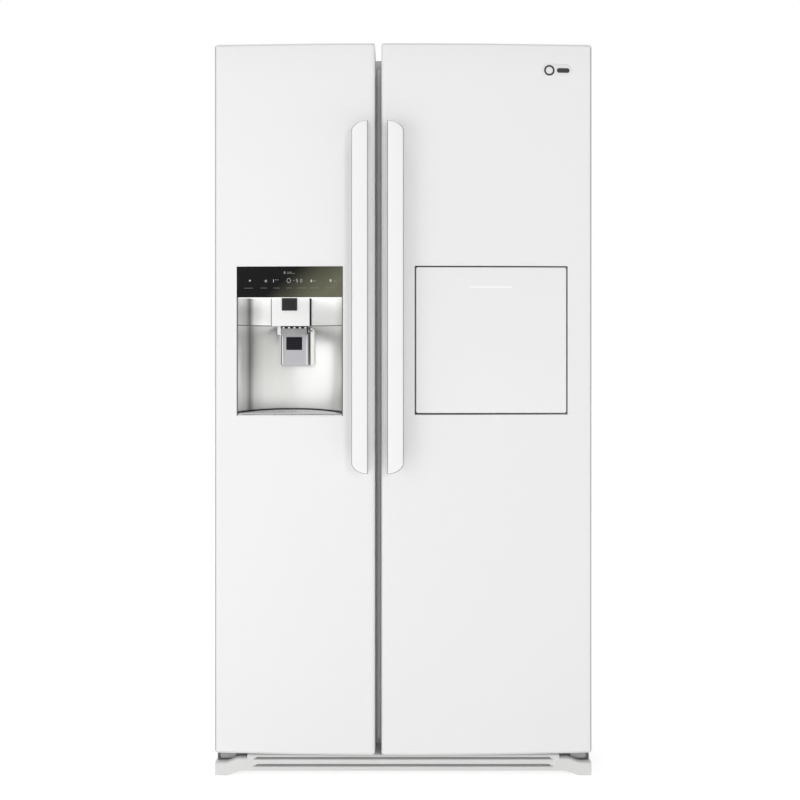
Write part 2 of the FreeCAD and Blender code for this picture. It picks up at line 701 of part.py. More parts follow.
def door_shell(side, windows_skin, windows_core, windows_liner):
    """Skin, foam core, end caps, inner liner and gasket of one door."""
    left, right = f"{side}_door_left", f"{side}_door_right"
    hinge_left = side == "freezer"
    low, high = "door_low + cap_plate", "door_high - cap_plate"
    outer = door_slab(f"{side}_skin_outer", (left, right), "0", "door_back", (low, high), SIZES["edge_round"])
    inner = door_slab(f"{side}_skin_inner", (f"{left} + sheet", f"{right} - sheet"), "sheet",
                      "door_back + spare",
                      (f"{low} - spare", f"{high} + spare"), SIZES["edge_round"] - SIZES["sheet"])
    sub_part(f"{side}_door_skin", cut(f"{side}_skin", outer, inner, *windows_skin))
    gap = "(sheet + skin_gap)"
    core = door_slab(f"{side}_core_block", (f"{left} + {gap}", f"{right} - {gap}"), gap,
                     "door_back - liner_wall",
                     (low, high), SIZES["edge_round"] - SIZES["sheet"])
    sign = "-" if hinge_left else ""
    wells = [rod(f"{side}_well_{i}", "bush_radius + 0.3", "bush_length + 3",
                 (f"{sign}hinge_x", "hinge_y", base))
             for i, base in enumerate(("door_low", "door_high - bush_length - 3"))]
    sub_part(f"{side}_door_core", cut(f"{side}_core", core, *wells, *windows_core))
    caps = []
    for end, z, bush_z in (("bottom", ("door_low", low), "door_low"),
                           ("top", (high, "door_high"), "door_high - bush_length")):
        plate = door_slab(f"{side}_cap_{end}", (left, right), "0", "door_back", z, SIZES["edge_round"])
        bush = rod(f"{side}_bush_{end}", "bush_radius", "bush_length", (f"{sign}hinge_x", "hinge_y", bush_z))
        bore = rod(f"{side}_bore_{end}", "pin_radius + running", "bush_length + 2",
                   (f"{sign}hinge_x", "hinge_y", f"{bush_z} - 1"))
        caps.append(cut(f"{side}_cap_{end}_done", fuse(f"{side}_cap_{end}_body", plate, bush), bore))
    sub_part(f"{side}_door_caps", group(f"{side}_cap_pair", *caps))
    insets = ("gasket_hinge_inset", "gasket_free_inset") if hinge_left else ("gasket_free_inset",
                                                                             "gasket_hinge_inset")
    ring_out = block(f"{side}_gasket_out", (f"{left} + {insets[0]}", f"{right} - {insets[1]}"),
                     ("door_back", "gasket_back"),
                     ("door_low + gasket_hinge_inset", "door_high - gasket_hinge_inset"))
    ring_in = block(f"{side}_gasket_in",
                    (f"{left} + {insets[0]} + gasket_width", f"{right} - {insets[1]} - gasket_width"),
                    ("door_back - spare", "gasket_back + spare"),
                    ("door_low + gasket_hinge_inset + gasket_width",
                     "door_high - gasket_hinge_inset - gasket_width"))
    sub_part(f"{side}_door_gasket", cut(f"{side}_gasket", ring_out, ring_in))
    dikes = ("dike_inset", "dike_free_inset") if hinge_left else ("dike_free_inset", "dike_inset")
    x = (f"{left} + {dikes[0]}", f"{right} - {dikes[1]}")
    plate = block(f"{side}_liner_plate", (f"{left} + {gap}", f"{right} - {gap}"),
                  ("door_back - liner_wall", "door_back"),
                  (low, high))
    rim = block(f"{side}_rim_out", x, ("door_back", "dike_front"), ("130", "1650"))
    rim_in = block(f"{side}_rim_in", (f"{x[0]} + dike_wall", f"{x[1]} - dike_wall"),
                   ("door_back - 0.5", "dike_front + spare"),
                   ("130 + dike_wall", "1650 - dike_wall"))
    raised = cut(f"{side}_rim", rim, rim_in)
    sub_part(f"{side}_door_inner_liner",
             cut(f"{side}_inner", fuse(f"{side}_inner_body", plate, raised), *windows_liner))


def door_bins(side):
    """Open boxes that hang between the raised rims of a door."""
    wall = "bin_wall"
    x = (f"{side}_door_left + " + ("dike_inset" if side == "freezer" else "dike_free_inset") + " + dike_wall",
         f"{side}_door_right - " + ("dike_free_inset" if side == "freezer" else "dike_inset") + " - dike_wall")
    bins = []
    for i, level in enumerate(BIN_LEVELS[side]):
        outer = block(f"{side}_bin_{i}_out", x, ("door_back", "bin_back"),
                      (str(level), f"{level} + bin_tall"))
        inner = block(f"{side}_bin_{i}_in", (f"{x[0]} + {wall}", f"{x[1]} - {wall}"),
                      (f"door_back + {wall}", f"bin_back - {wall}"),
                      (f"{level} + {wall}", f"{level} + bin_tall + spare"))
        bins.append(cut(f"{side}_bin_{i}", outer, inner))
    return bins


def handle(side):
    """Flat bow handle: a long bar that stands off the door on two feet, its outer corners cut by long curves."""
    left, right = f"{side}_handle_left", f"{side}_handle_right"
    seat = "door_apex + 1.6"
    rise = "handle_foot - handle_corner"
    side_points = [
        (seat, "handle_low"), ("handle_front + 14", "handle_low"), ("handle_front", f"handle_low + {rise}"),
        ("handle_front", f"handle_high - {rise}"), ("handle_front + 14", "handle_high"),
                   (seat, "handle_high"),
        (seat, "handle_high - 30"), ("handle_front + handle_thick", "handle_high - handle_foot"),
        ("handle_front + handle_thick", "handle_low + handle_foot"), (seat, "handle_low + 30"),
    ]
    bar = pad(f"{side}_handle_bar", "YZ_Plane", side_points, f"{right} - {left}", ("x", left))
    corners = []
    outer, inward = (left, 1) if side == "freezer" else (right, -1)
    for end, z, upward in (("low", "handle_low", 1), ("high", "handle_high", -1)):
        corner = pad(f"{side}_corner_{end}", "XZ_Plane", [
            (f"{outer} - {inward}", f"{z} - {upward}"), (f"{outer} + {inward * 30}", f"{z} - {upward}"),
            (f"{outer} + {inward * 12}", f"{z} + {upward * 4}"),
                                                          (f"{outer} + {inward * 4}", f"{z} + {upward * 12}"),
            (f"{outer} - {inward}", f"{z} + {upward * 26}"),
        ], "60", ("y", "door_apex + 10"))
        corners.append(corner)
    shaped = cut(f"{side}_handle_shape", bar, *corners)
    soft = rounded(f"{side}_handle_soft", shaped, SIZES["handle_round"], lambda edge: runs_along(edge, "z")
                   and edge.BoundBox.YMax < SIZES["handle_front"] + 0.1)
    lift = doc.addObject("Part::Cut", f"{side}_handle_fit")
    lift.Base = soft
    lift.Tool = rod(f"{side}_handle_arc", ARC_RADIUS, "handle_high - handle_low + 2",
                    ("0", f"door_apex + {ARC_RADIUS}", "handle_low - 1"))
    sub_part(f"{side}_door_handle", lift)


def freezer_door():
    x = ("disp_left", "disp_right")
    z = ("disp_low", "disp_high")
    pocket = lambda name: block(name, x, ("door_apex - 10", "disp_back"), z)
    throat = lambda name: block(name, ("chute_left - 0.5", "chute_right + 0.5"),
                                ("disp_back - 10", "chute_inner_end"),
                                ("chute_low - 0.5", "chute_high + 0.5"))
    door_shell("freezer", [pocket("freezer_skin_window")],
               [pocket("freezer_core_pocket"), throat("freezer_core_throat")],
               [throat("freezer_liner_throat")])
    handle("freezer")
    sub_part("freezer_door_bins", group("freezer_bin_set", *door_bins("freezer")))
    fit = "skin_gap"
    tub_x = (f"disp_left + {fit}", f"disp_right - {fit}")
    tub_z = (f"disp_low + {fit}", f"disp_high - {fit}")
    tub = block("tub_block", tub_x, ("-334", f"disp_back - {fit}"), tub_z)
    scoop = rod("scoop", "scoop_radius", "scoop_high - disp_low - disp_wall",
                ("disp_middle", "scoop_back - scoop_radius", "disp_low + disp_wall"))
    loft = block("tub_loft", ("disp_left + disp_wall", "disp_right - disp_wall"), ("-335", "scoop_back"),
                 ("scoop_high - spare", "disp_high - disp_wall"))
    front_trim = rod("tub_front_arc", f"{ARC_RADIUS} - 1", "disp_high - disp_low",
                     ("0", f"door_apex + {ARC_RADIUS}", "disp_low"))
    seat = block("panel_seat", ("disp_left - 1", "disp_right + 1"), ("door_apex", "panel_back"),
                 ("panel_low - skin_gap", "disp_high + 1"))
    hollowed = cut("tub_hollow", common("tub_curved", tub, front_trim), scoop, loft, seat,
                   block("tub_throat", ("chute_left - 0.5", "chute_right + 0.5"),
                         ("scoop_back - 12", "disp_back + 1"),
                         ("chute_low - 0.5", "chute_high + 0.5")))
    ears = [block(f"ear_{i}", (low, f"{low} + 4"), ("lever_y - 4.5", "scoop_back + 1"),
                  ("lever_z - 5", "lever_z + 5"))
            for i, low in enumerate(("lever_left - 6", "lever_right + 2"))]
    pin = rod("lever_pin_rod", "lever_pin", "lever_right - lever_left + 10",
              ("lever_left - 5", "lever_y", "lever_z"), "x")
    sub_part("dispenser_housing", fuse("housing", hollowed, pin, *ears))

    panel_x = ("disp_left + skin_gap", "disp_right - skin_gap")
    panel = door_slab("control_panel", panel_x, "0", "panel_back", ("panel_low", "disp_high - skin_gap"))
    sub_part("dispenser_control_panel", panel)
    hood = block("hood_outer", ("hood_left", "hood_right"), ("hood_front", "hood_back"),
                 ("hood_low", "hood_high"))
    hood_in = block("hood_inner", ("hood_left + disp_wall", "hood_right - disp_wall"),
                    ("hood_front + disp_wall", "hood_back + spare"),
                    ("hood_low - spare", "hood_high + spare"))
    nozzle = block("nozzle", ("-284", "-250"), ("hood_front - 4", "hood_front"), ("1104", "hood_high"))
    sub_part("dispenser_hood", fuse("hood", cut("hood_shell", hood, hood_in), nozzle))

    wall = "disp_wall"
    duct = block("duct_outer", ("chute_left", "chute_right"), ("chute_front", "chute_inner_end"),
                 ("chute_low", "chute_high"))
    duct_in = block("duct_inner", (f"chute_left + {wall}", f"chute_right - {wall}"),
                    (f"chute_front + {wall}", "chute_inner_end + 1"),
                    (f"chute_low + {wall}", f"chute_high - {wall}"))
    spout = block("spout_outer", ("chute_left", "chute_right"), ("chute_front", "spout_back + 4"),
                  ("spout_low", "chute_low + 1"))
    spout_in = block("spout_inner", (f"chute_left + {wall}", f"chute_right - {wall}"),
                     ("chute_front + 2.5", "spout_back + 1.5"),
                     ("spout_low - 1", "chute_low + 4"))
    flap_rod = rod("flap_rod", "flap_pin", "chute_right - chute_left - 2",
                   ("chute_left + 1", "spout_back - 3", "flap_z"), "x")
    sub_part("ice_chute",
             fuse("chute", cut("chute_walls", fuse("chute_outer", duct, spout), duct_in, spout_in), flap_rod))
    flap_x = ("chute_left + 4", "chute_right - 4")
    knuckle = rod("flap_knuckle", "3", "chute_right - chute_left - 8",
                  ("chute_left + 4", "spout_back - 3", "flap_z"), "x")
    leaf = block("flap_leaf", flap_x, ("chute_front + 3.5", "spout_back - 3"), ("flap_z - 1", "flap_z + 1"))
    flap_bore = rod("flap_bore", "flap_pin + running", "chute_right - chute_left",
                    ("chute_left", "spout_back - 3", "flap_z"), "x")
    sub_part("chute_flap", cut("flap", fuse("flap_body", knuckle, leaf), flap_bore))

    barrel = rod("lever_tube", "lever_barrel", "lever_right - lever_left",
                 ("lever_left", "lever_y", "lever_z"), "x")
    paddle = rounded("paddle_soft",
                     block("paddle", ("lever_left", "lever_right"), ("lever_y - 3", "lever_y + 3"),
                                          ("lever_low", "lever_z")), 2,
                     lambda edge: edge.BoundBox.YMax < SIZES["lever_y"] - 2.9)
    window = block("paddle_window", ("lever_left + 12", "lever_right - 12"), ("lever_y - 4", "lever_y - 2"),
                   ("lever_window_low", "lever_window_high"))
    lever_bore = rod("lever_bore", "lever_pin + running", "lever_right - lever_left + 2",
                     ("lever_left - 1", "lever_y", "lever_z"), "x")
    sub_part("dispenser_lever", cut("lever", fuse("lever_body", barrel, paddle), window, lever_bore))

    tray_round = rod("tray_round", "scoop_radius - 2", "tray_high - tray_low",
                     ("disp_middle", "scoop_back - scoop_radius", "tray_low"))
    tray_box = block("tray_box", ("disp_left + 6", "disp_right - 6"), ("tray_front", "disp_back"),
                     ("tray_low", "tray_high"))
    slots = [block(f"tray_slot_{i}", (f"disp_middle - 86 + {i} * 12", f"disp_middle - 80 + {i} * 12"),
                   ("tray_slot_front", "tray_slot_back"),
                   ("tray_low + 2", "tray_high + 1")) for i in range(15)]
    sub_part("drip_tray", cut("tray", common("tray_plate", tray_round, tray_box), *slots))


def bar_axis():
    """Start point and direction of the home bar's hinge, which follows the chord of the curved front."""
    radius = (SIZES["half_width"] ** 2 + SIZES["door_sag"] ** 2) / (2 * SIZES["door_sag"])
    ends = []
    for x in (SIZES["bar_left"], SIZES["bar_right"]):
        front = SIZES["door_apex"] + radius - math.sqrt(radius ** 2 - x ** 2)
        ends.append(Vector(x, front + SIZES["bar_axis_depth"], SIZES["bar_low"] + SIZES["bar_axis_rise"]))
    return ends[0], (ends[1] - ends[0]).normalize(), (ends[1] - ends[0]).Length


def bar_rod(name, radius, start, length):
    """A cylinder on the home bar's hinge axis, from start millimetres past its left end."""
    origin, along, _ = bar_axis()
    cylinder = doc.addObject("Part::Cylinder", name)
    bind(cylinder, "Radius", radius)
    cylinder.Height = length
    cylinder.Placement = Placement(origin + along * start, Rotation(Vector(0, 0, 1), along))
    return cylinder


def fridge_door():
    lip_x = ("bar_left - bar_gap - bar_wall", "bar_right + bar_gap + bar_wall")
    lip_z = ("bar_low - bar_low_gap - bar_wall", "bar_high + bar_gap + bar_wall")
    mouth_x = ("bar_left - bar_gap", "bar_right + bar_gap")
    mouth_z = ("bar_low - bar_low_gap", "bar_high + bar_gap")
    case_x, case_z = ("case_left", "case_right"), ("case_low", "case_high")
    window = lambda name: block(name, case_x, ("door_apex - 10", "-200"), case_z)
    rebate = block("bar_rebate", lip_x, ("door_apex - 10", "ledge_y + bar_wall"), lip_z)
    skin_window = block("bar_skin_window", mouth_x, ("door_apex - 10", "ledge_y"), mouth_z)
    door_shell("fridge", [skin_window], [rebate, window("bar_core_window")], [window("bar_liner_window")])
    handle("fridge")
    plate = rounded("badge_soft", block("badge_plate", ("327", "398"), ("-333.6", "-326"), ("1657", "1687")),
                    14.9,
                    lambda edge: runs_along(edge, "y"))
    face = door_slab("badge_front", ("320", "405"), "-1.5", "door_back", ("1650", "1695"))
    back = rod("badge_seat", ARC_RADIUS, "60", ("0", f"door_apex + {ARC_RADIUS}", "1645"))
    sub_part("name_plate", cut("badge", common("badge_face", plate, face), back))

    lip_out = door_slab("bar_lip", lip_x, "sheet + skin_gap", "ledge_y + bar_wall", lip_z)
    lip_in = block("bar_lip_inner", mouth_x, ("door_apex - 10", "ledge_y"), mouth_z)
    tube = block("bar_tube", case_x, ("ledge_y", "-206"), case_z)
    tube_in = block("bar_tube_in", ("case_left + bar_wall", "case_right - bar_wall"),
                    ("door_apex - 10", "-205"),
                    ("case_low + bar_wall", "case_high - bar_wall"))
    origin, along, length = bar_axis()
    pins = [bar_rod(f"bar_pin_{i}", "bar_pin", start, 14) for i, start in enumerate((-5, length - 9))]
    frame = fuse("bar_frame_body", cut("bar_lip_cut", fuse("bar_lip_tube", lip_out, tube), lip_in, tube_in),
                 *pins)
    trim = rod("bar_frame_trim_arc", f"{ARC_RADIUS} - 1", "500", ("0", f"door_apex + {ARC_RADIUS}", "800"))
    sub_part("home_bar_frame", common("bar_frame", frame, trim))

    front = door_slab("bar_panel", ("bar_left", "bar_right"), "0", "bar_back", ("bar_low", "bar_high"))
    soft = rounded("bar_panel_soft", front, 3, lambda edge: edge.BoundBox.YMax < -320 and (
        runs_along(edge, "z") or edge.BoundBox.XLength > 300))
    bores = [bar_rod(f"bar_bore_{i}", "bar_pin + running", start, 16) for i,
             start in enumerate((-6, length - 10))]
    groove = block("push_groove", ("154", "256"), ("-345", "-339"), ("1159", "1161"))
    sub_part("home_bar_door", cut("bar_door", soft, *bores, groove))
    plug = block("bar_plug", ("plug_left", "plug_right"), ("bar_back", "plug_back"),
                 ("plug_low", "plug_high"))
    dish = block("bar_dish", ("plug_left + 20", "plug_right - 20"), ("plug_back - 12", "plug_back + 1"),
                 ("plug_low + 20", "plug_high - 20"))
    sub_part("home_bar_inner", cut("bar_inner", plug, dish))
    stays = []
    for i, start in enumerate((25.5, length - 19.5)):
        place = Placement(origin + along * start, Rotation(Vector(0, 0, 1), along))
        sectors = []
        for radius in ("stay_outer", "stay_inner"):
            sector = doc.addObject("Part::Cylinder", f"{radius}_{i}")
            bind(sector, "Radius", radius)
            bind(sector, "Height", "stay_thick")
            bind(sector, "Angle", "stay_sweep")
            sector.Placement = place
            sectors.append(sector)
        stays.append(cut(f"bar_stay_{i}", *sectors))
    doc.recompute()
    for stay in stays:
        turn_to(stay, origin, along)
    behind_door = block("behind_bar_door", ("bar_left", "bar_right"), ("bar_back", "0"),
                        ("bar_low", "bar_high"))
    sub_part("home_bar_stays", common("stay_pair", group("stay_arcs", *stays), behind_door))

    bins = door_bins("fridge")
    dairy = bins[-1]
    opening = block("dairy_opening", ("fridge_bin_left + 8", "fridge_bin_right - 10"),
                    ("bin_back - 8", "bin_back + 1"),
                    ("1486", "1600"))
    cheeks = [block(f"dairy_cheek_{i}", (low, f"{low} + 3"), ("door_back + 2", "lid_y + 6"),
                    ("1456", "lid_z + 6"))
              for i, low in enumerate(("fridge_door_left + dike_free_inset + dike_wall",
                                       "fridge_door_right - dike_inset - dike_wall - 3"))]
    lid_rod = rod("lid_rod", "lid_pin",
                  "fridge_door_right - dike_inset - fridge_door_left - dike_free_inset - 2 * dike_wall - 2",
                  ("fridge_door_left + dike_free_inset + dike_wall + 1", "lid_y", "lid_z"), "x")
    bins[-1] = fuse("dairy_bin", cut("dairy_box", dairy, opening), lid_rod, *cheeks)
    sub_part("fridge_door_bins", group("fridge_bin_set", *bins))
    lid_x = ("fridge_door_left + dike_free_inset + dike_wall + 4",
             "fridge_door_right - dike_inset - dike_wall - 4")
    knuckle = rod("lid_knuckle", "4.5", f"{lid_x[1]} - ({lid_x[0]})", (lid_x[0], "lid_y", "lid_z"), "x")
    leaf = block("lid_leaf", lid_x, ("lid_y - 1.5", "lid_y + 1.5"), ("1478", "lid_z"))
    bore = rod("lid_bore", "lid_pin + running", "400", ("fridge_bin_left - 10", "lid_y", "lid_z"), "x")
    sub_part("dairy_lid", cut("lid", fuse("lid_body", knuckle, leaf), bore))


def turn_to(stay, origin, along):
    """Turn a stay about the hinge so that it starts stay_start degrees above the way into the cabinet."""
    for sector in (stay.Base, stay.Tool):
        sideways = sector.Placement.Rotation.multVec(Vector(1, 0, 0))
        inward = Vector(0, 0, 1).cross(along)
        start = Rotation(along, SIZES["stay_start"]).multVec(inward)
        swing = Rotation(sideways, start)
        sector.Placement = Placement(sector.Placement.Base, swing.multiply(sector.Placement.Rotation))


cabinet()
underside()
machine_room()
inside()
hinges()
base_cover()
freezer_door()
fridge_door()
doc.recompute()

faults = [obj.Label for obj in doc.Objects if "Invalid" in obj.State or "Error" in obj.State]
for piece in sub_parts:
    if piece.Shape.isNull() or not piece.Shape.isValid() or not piece.Shape.Solids:
        faults.append(piece.Label)
if faults:
    raise SystemExit(f"failed objects: {faults}")
os.makedirs("parts", exist_ok=True)
for piece in sub_parts:
    piece.Shape.exportStep(f"parts/{piece.Label}.step")
    print(f"{piece.Label}: {len(piece.Shape.Solids)} solids, {piece.Shape.Volume / 1000:.0f} cm3")
print(len(sub_parts), "sub-parts")
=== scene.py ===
"""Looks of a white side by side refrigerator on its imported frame; shapes are in millimetres."""
import json
import math

import bmesh
import bpy
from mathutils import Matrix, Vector


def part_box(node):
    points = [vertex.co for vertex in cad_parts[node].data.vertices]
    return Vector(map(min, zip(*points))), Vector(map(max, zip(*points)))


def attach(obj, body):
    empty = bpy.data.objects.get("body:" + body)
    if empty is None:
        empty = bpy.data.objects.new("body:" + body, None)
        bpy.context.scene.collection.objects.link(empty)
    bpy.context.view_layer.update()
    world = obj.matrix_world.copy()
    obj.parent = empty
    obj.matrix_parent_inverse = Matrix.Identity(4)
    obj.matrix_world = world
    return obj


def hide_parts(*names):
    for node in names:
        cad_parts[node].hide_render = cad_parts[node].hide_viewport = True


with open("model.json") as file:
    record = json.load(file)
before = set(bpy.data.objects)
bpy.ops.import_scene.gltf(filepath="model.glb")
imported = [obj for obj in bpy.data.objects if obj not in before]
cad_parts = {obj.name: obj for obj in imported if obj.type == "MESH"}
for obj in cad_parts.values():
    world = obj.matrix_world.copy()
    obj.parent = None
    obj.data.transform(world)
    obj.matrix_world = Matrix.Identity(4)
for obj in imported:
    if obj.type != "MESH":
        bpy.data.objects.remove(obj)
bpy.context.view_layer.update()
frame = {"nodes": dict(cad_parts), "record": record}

MM = 0.001
scene = bpy.context.scene


# ---------------------------------------------------------------- sizes read from the frame
def box(node):
    """Low and high corner of a CAD node, in millimetres."""
    low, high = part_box(node)
    return low / MM, high / MM


DOORS = {side: box(f"{side}_door_skin") for side in ("freezer", "fridge")}
HALF_WIDTH = DOORS["fridge"][1].x
APEX = DOORS["fridge"][0].y
SAG = 16
ARC = (HALF_WIDTH ** 2 + SAG ** 2) / (2 * SAG)
EDGE_ROUND = 9
SHEET = 1
HINGE_X, HINGE_Y = 425, -282.5
LEVER_Y, LEVER_Z = -285, 1058
BAR_LOW, BAR_HIGH = box("home_bar_door")
BAR_HOLE = (BAR_LOW + Vector((-3, 0, -4)), BAR_HIGH + Vector((3, 0, 3)))
BAR_CASE = (Vector((44, 0, 873)), Vector((375, 0, 1194)))
CHUTE_HOLE = (Vector((-300.5, 0, 1079.5)), Vector((-231.5, 0, 1145.5)))


def front_y(x):
    """Y of the long arc over both doors."""
    return APEX + ARC - math.sqrt(ARC ** 2 - x * x)


# ---------------------------------------------------------------- materials
def add(tree, kind, **values):
    node = tree.nodes.new(kind)
    for key, value in values.items():
        setattr(node, key, value)
    return node


def noise(tree, coords, scale, detail=3.0, stretch=(1, 1, 1)):
    """Noise in object space; a large stretch value packs its pattern tightly along that axis."""
    mapping = add(tree, "ShaderNodeMapping")
    mapping.inputs["Scale"].default_value = stretch
    tree.links.new(coords, mapping.inputs["Vector"])
    texture = add(tree, "ShaderNodeTexNoise")
    texture.inputs["Scale"].default_value = scale
    texture.inputs["Detail"].default_value = detail
    tree.links.new(mapping.outputs[0], texture.inputs["Vector"])
    return texture.outputs["Fac"]


def spread(tree, value, low, high, start=0.3, end=0.7):
    """Map the middle of a noise to a range."""
    node = add(tree, "ShaderNodeMapRange")
    for socket, number in zip(("From Min", "From Max", "To Min", "To Max"), (start, end, low, high)):
        node.inputs[socket].default_value = number
    tree.links.new(value, node.inputs["Value"])
    return node.outputs["Result"]


def blend_colours(tree, factor, first, second):
    node = add(tree, "ShaderNodeMix", data_type="RGBA")
    tree.links.new(factor, node.inputs["Factor"])
    for socket, colour in zip((6, 7), (first, second)):
        if isinstance(colour, bpy.types.NodeSocket):
            tree.links.new(colour, node.inputs[socket])
        else:
            node.inputs[socket].default_value = (*colour, 1)
    return node.outputs[2]


def shade(colour, factor):
    return tuple(min(max(part * factor, 0.0), 1.0) for part in colour)


def surface(name, colour, rough, metal=0.0, vary=0.03, patch=3.0, grain=300.0, bump=0.05, depth=0.0004,
            stretch=(1, 1, 1), coat=0.0, spec=0.5, wear=None, aniso=0.0, turn=0.0, glow=None, uneven=0.25,
            painted_reflection_bands=(), lift=0.0):
    """A procedural finish: cloudy colour, uneven gloss, fine relief and, where asked, worn edges,
    upright stripes of painted reflection and shade across the piece, or a glow of its own colour, painted
    light on the stainless, the divider, the recess ceiling and the push line."""
    material = bpy.data.materials.new(name)
    material.use_nodes = True
    tree = material.node_tree
    shader = tree.nodes["Principled BSDF"]
    coords = add(tree, "ShaderNodeTexCoord").outputs["Object"]
    clouds = noise(tree, coords, patch, 4.0)
    tint = blend_colours(tree, spread(tree, clouds, 0.0, 1.0, 0.1, 0.9), shade(colour, 1 - 2 * vary),
                         shade(colour, 1 + 2 * vary))
    if wear:
        edges = add(tree, "ShaderNodeNewGeometry").outputs["Pointiness"]
        tint = blend_colours(tree, spread(tree, edges, 0.0, 1.0, 0.52, 0.60), tint, wear)
    # Painted reflection and shade: upright stripes that darken the colour by distance across the piece.
    if painted_reflection_bands:
        across = add(tree, "ShaderNodeSeparateXYZ")
        tree.links.new(add(tree, "ShaderNodeTexCoord").outputs["Generated"], across.inputs[0])
        reflection_ramp = add(tree, "ShaderNodeValToRGB")
        tree.links.new(across.outputs["X"], reflection_ramp.inputs["Fac"])
        for i, (place, value) in enumerate(painted_reflection_bands):
            stop = reflection_ramp.color_ramp.elements[i] if i < 2 else reflection_ramp.color_ramp.elements.new(place)
            stop.position, stop.color = place, (value, value, value, 1)
        tint = blend_colours(tree, reflection_ramp.outputs["Color"], (0, 0, 0), tint)
    tree.links.new(tint, shader.inputs["Base Color"])
    # Painted light: the colour itself glows at the lift strength, to brighten shaded parts.
    if lift:
        tree.links.new(tint, shader.inputs["Emission Color"])
        shader.inputs["Emission Strength"].default_value = lift
    smears = noise(tree, coords, patch * 4, 5.0, stretch)
    duller = min(rough * (1 + uneven), 1.0)
    tree.links.new(spread(tree, smears, rough * (1 - uneven), duller, 0.1, 0.9), shader.inputs["Roughness"])
    relief = noise(tree, coords, grain, 2.0, stretch)
    bumps = add(tree, "ShaderNodeBump")
    bumps.inputs["Strength"].default_value = bump
    bumps.inputs["Distance"].default_value = depth
    tree.links.new(relief, bumps.inputs["Height"])
    tree.links.new(bumps.outputs["Normal"], shader.inputs["Normal"])
    settings = {"Metallic": metal, "Coat Weight": coat, "Coat Roughness": 0.08, "Specular IOR Level": spec,
                "Anisotropic": aniso, "Anisotropic Rotation": turn}
    for socket, value in settings.items():
        shader.inputs[socket].default_value = value
    # A set glow of its own colour; on the divider, the recess ceiling and the push line it is painted light.
    if glow:
        shader.inputs["Emission Color"].default_value = (*glow[0], 1)
        shader.inputs["Emission Strength"].default_value = glow[1]
    return material


def clear(name, colour, rough=0.06, through=0.88, patch=5.0):
    """Clear or tinted plastic and glass with faint clouding."""
    material = surface(name, colour, rough, vary=0.02, patch=patch, grain=90.0, bump=0.02)
    shader = material.node_tree.nodes["Principled BSDF"]
    shader.inputs["Transmission Weight"].default_value = through
    shader.inputs["IOR"].default_value = 1.33
    return material


def see_through(name, colour, rough, cover):
    """Thin moulded plastic that covers part of what is behind it."""
    material = surface(name, colour, rough, vary=0.015, patch=5.0, grain=90.0, bump=0.02, uneven=0.15)
    material.node_tree.nodes["Principled BSDF"].inputs["Alpha"].default_value = cover
    return material


def panel_gloss(name):
    """Black glass of the control panel, with a painted reflection: a warm olive grey that comes in along a
    slant towards its right end.
    """
    material = surface(name, (0.008, 0.008, 0.008), 0.16, vary=0.1, patch=8, bump=0.01, spec=0.14)
    tree = material.node_tree
    shader = tree.nodes["Principled BSDF"]
    coords = add(tree, "ShaderNodeTexCoord").outputs["Object"]
    split = add(tree, "ShaderNodeSeparateXYZ")
    tree.links.new(coords, split.inputs[0])
    low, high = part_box("dispenser_control_panel")
    slant = add(tree, "ShaderNodeMath", operation="MULTIPLY_ADD")
    slant.inputs[1].default_value = -1.2
    tree.links.new(split.outputs["Z"], slant.inputs[0])
    tree.links.new(split.outputs["X"], slant.inputs[2])
    middle_z = (low.z + high.z) / 2
    width = high.x - low.x
    start = low.x + 0.42 * width - 1.2 * middle_z
    end = low.x + 0.95 * width - 1.2 * middle_z
    # Painted reflection: the olive grey shows from the slant line towards the right end.
    painted_reflection_fade = spread(tree, slant.outputs[0], 0.0, 1.0, start, end)
    fog = noise(tree, coords, 14.0, 2.0)
    olive = blend_colours(tree, spread(tree, fog, 0.0, 1.0), (0.120, 0.120, 0.078), (0.150, 0.150, 0.100))
    tree.links.new(blend_colours(tree, painted_reflection_fade, (0.003, 0.003, 0.003), olive), shader.inputs["Base Color"])
    return material


def galvanised(name):
    """Zinc coated sheet with its crystal spangle."""
    material = surface(name, (0.60, 0.61, 0.62), 0.42, metal=0.85, vary=0.04, patch=2.0, grain=60, bump=0.05)
    tree = material.node_tree
    shader = tree.nodes["Principled BSDF"]
    coords = add(tree, "ShaderNodeTexCoord").outputs["Object"]
    cells = add(tree, "ShaderNodeTexVoronoi")
    cells.inputs["Scale"].default_value = 190.0
    tree.links.new(coords, cells.inputs["Vector"])
    grey = add(tree, "ShaderNodeSeparateColor")
    tree.links.new(cells.outputs["Color"], grey.inputs[0])
    tint = blend_colours(tree, grey.outputs[0], (0.585, 0.59, 0.60), (0.655, 0.66, 0.665))
    tree.links.new(tint, shader.inputs["Base Color"])
    return material


# Painted reflection and shade on the stainless: share of its colour against the distance across the recess,
# dark at both rims and in one band near the left, standing in for reflected dark surroundings.
STEEL_PAINTED_REFLECTION = ((0, 0.5), (1, 0.55), (0.015, 1.0), (0.07, 0.78), (0.105, 0.30), (0.145, 0.7),
               (0.24, 0.84), (0.50, 0.86), (0.72, 0.96), (0.93, 1.0), (0.965, 0.9))
UPPER_PAINTED_REFLECTION = ((0, 0.4), (1, 0.6), (0.015, 0.66), (0.07, 0.50), (0.105, 0.17), (0.145, 0.75),
               (0.24, 1.0), (0.55, 1.1), (0.88, 1.1), (0.965, 0.8))

